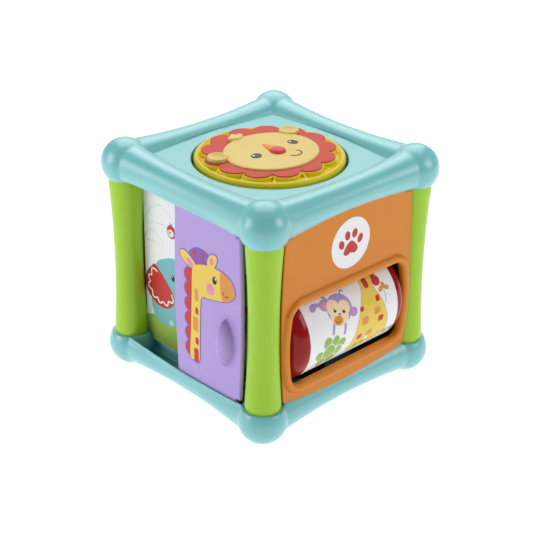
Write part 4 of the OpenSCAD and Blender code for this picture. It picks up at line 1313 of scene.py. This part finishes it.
def leaf_field(x, y, z):
    """A thin plate with a groove near its edge, and one long knuckle on the pin."""
    mid_x, half_x, half_z = leaf_span()
    u, v, w = x - mid_x, z - SPIN_Z, y - HINGE_AT[1]
    plate = round_max(soft_rect(u, v, half_x, half_z, 10), np.abs(w) - 1.3, 1.0)
    axis = np.hypot(x - HINGE_AT[0], w)
    knuckle = np.maximum(axis - 3, np.abs(v) - 15.6)
    web = np.maximum(np.maximum(slab(x, HINGE_AT[0] - 6, HINGE_AT[0]), np.abs(w) - 1.3), np.abs(v) - 15.6)
    shape = round_min(plate, np.minimum(knuckle, web), 0.6)
    rim = np.maximum(np.abs(soft_rect(u, v, half_x - 3.4, half_z - 3.4, 7)) - 0.5, 0.9 - np.abs(w))
    return np.maximum(cut(shape, rim, 0.25), 1.66 - axis)


def page_leaf():
    low, high = box_mm("page_leaf")
    piece = field_piece("page_leaf_shell", leaf_field, low, high, 0.5, 0.5)
    finish_piece(piece, "page", "lime_plastic", "page_leaf")


def page_front():
    """A ladybird among leaves, on the outside of the closed leaf."""
    mid_x, half_x, half_z = leaf_span()
    art = ladybird(0, -2) + flower(-27, 18, 7, WHITE, YELLOW) + flower(26, -17, 6, PINK, YELLOW)
    art += [(GREEN, leaf(-24, -24, 15, 7, a)) for a in (30, 80, 130)] + tuft(22, -30, 6, GRASS)
    paper = (WHITE, moved(rect(4 - half_x, 4 - half_z, half_x - 4, half_z - 4, 6.4), -mid_x, SPIN_Z))
    face_h = HINGE_AT[1] + 1.3 - PANEL_FACE + 0.02
    sheet = printed_skin("page_front_picture", paper, placed(art, -mid_x, SPIN_Z),
                         lambda u, v, h: page_place(u, v, face_h + h))
    finish_piece(sheet, "page", "printed_label")


def page_inner():
    """A butterfly over a flower bed, on the panel that the leaf covers."""
    low, high = box_mm("page_picture")
    at_x, _, at_z = middle("page_picture")
    half_u, half_v = (high[0] - low[0]) / 2, (high[2] - low[2]) / 2
    art = butterfly(0, 6) + flower(-24, -14, 6, YELLOW, ORANGE) + flower(25, -15, 6.6, RED, YELLOW)
    for x in (-30, -12, 4, 18, 31):
        art += tuft(x, -31, 7, GREEN)
    art += cloud(-28, 22, 0.5) + cloud(16, 24, 0.5)
    paper = (PALE, moved(rect(-half_u, -half_v, half_u, half_v, 8), -at_x, at_z))
    sheet = printed_skin("page_inner_picture", paper, placed(art, -at_x, at_z),
                         lambda u, v, h: page_place(u, v, 0.02 + h), 0.14)
    finish_piece(sheet, "cube", "printed_label", "page_picture")


# ---- carried-over CAD nodes ----


def dress_frame():
    """Gives every CAD node the procedural material of its slot."""
    for entry in frame["record"]["subparts"]:
        node = frame["nodes"][entry["node"]]
        material = MATERIALS[entry["material_slot"]]
        node.data.materials.clear()
        node.data.materials.append(material)


# ---- camera, light and floor ----


def camera():
    """The camera stands in front of the corner between the door and the roller, and looks down."""
    azimuth, elevation, roll = math.radians(46.568), math.radians(26.944), math.radians(0.646)
    distance = 0.86375
    level = math.cos(elevation)
    back = Vector((math.sin(azimuth) * level, -math.cos(azimuth) * level, math.sin(elevation)))
    right = Vector((math.cos(azimuth), math.sin(azimuth), 0))
    up = back.cross(right)
    turned = right * math.cos(roll) + up * math.sin(roll)
    up = up * math.cos(roll) - right * math.sin(roll)
    data = bpy.data.cameras.new("camera")
    data.lens = 90.16
    data.sensor_width = 36
    data.shift_x, data.shift_y = -0.0041, -0.0187
    holder = bpy.data.objects.new("camera", data)
    place = Matrix((turned, up, back)).transposed().to_4x4()
    place.translation = Vector((0, 0, MID_Z * MM)) + back * distance
    holder.matrix_world = place
    bpy.context.scene.collection.objects.link(holder)
    bpy.context.scene.camera = holder


def softbox(name, way, reach, size, power):
    """A rectangular lamp that far off in that direction, turned to the middle of the cube."""
    data = bpy.data.lights.new(name, "AREA")
    data.shape = "RECTANGLE"
    data.size, data.size_y = size
    data.energy = power
    lamp = bpy.data.objects.new(name, data)
    lamp.location = Vector(way) * reach + Vector((0, 0, MID_Z * MM))
    lamp.rotation_euler = (-Vector(way)).to_track_quat("-Z", "Y").to_euler()
    bpy.context.scene.collection.objects.link(lamp)


def studio():
    """A dim surround, a strong lamp above, smaller ones at the sides, a wide one behind and a white floor."""
    world = bpy.data.worlds.new("studio")
    world.use_nodes = True
    background = world.node_tree.nodes["Background"].inputs
    background["Color"].default_value = (1, 1, 1, 1)
    background["Strength"].default_value = 0.22
    bpy.context.scene.world = world
    softbox("top_softbox", (-0.35, 0.33, 0.87), 1.1, (1.1, 1.1), 9.5)
    softbox("left_softbox", (-0.45, -0.83, 0.32), 1.1, (0.6, 0.6), 4.2)
    softbox("right_softbox", (0.80, 0.40, 0.45), 1.1, (0.5, 0.5), 3.2)
    softbox("back_softbox", (-0.64, 0.62, 0.45), 1.2, (1.3, 0.8), 2.2)
    glow = plastic("floor_sheet", (0.28, 0.28, 0.28), 0.7, 0.1, 0.005,
                   Emission_Color=(1, 1, 1, 1), Emission_Strength=0.92)
    corners = [(-3000, -3000, 0), (3000, -3000, 0), (3000, 3000, 0), (-3000, 3000, 0)]
    floor = new_piece("floor", corners, [(0, 1, 2, 3)], [glow], smooth=False)
    bpy.context.scene.view_settings.view_transform = "Standard"


camera()
studio()
dress_frame()
frames()
columns()
roller_panel()
sticker()
roller_caps()
roller_label()
door()
door_print()
picture()
button_disc()
lion_head()
lion_print()
switch_dome()
button_spring()
plain_panels()
petal_ring()
mirror()
spinner_dots()
page_leaf()
page_front()
page_inner()
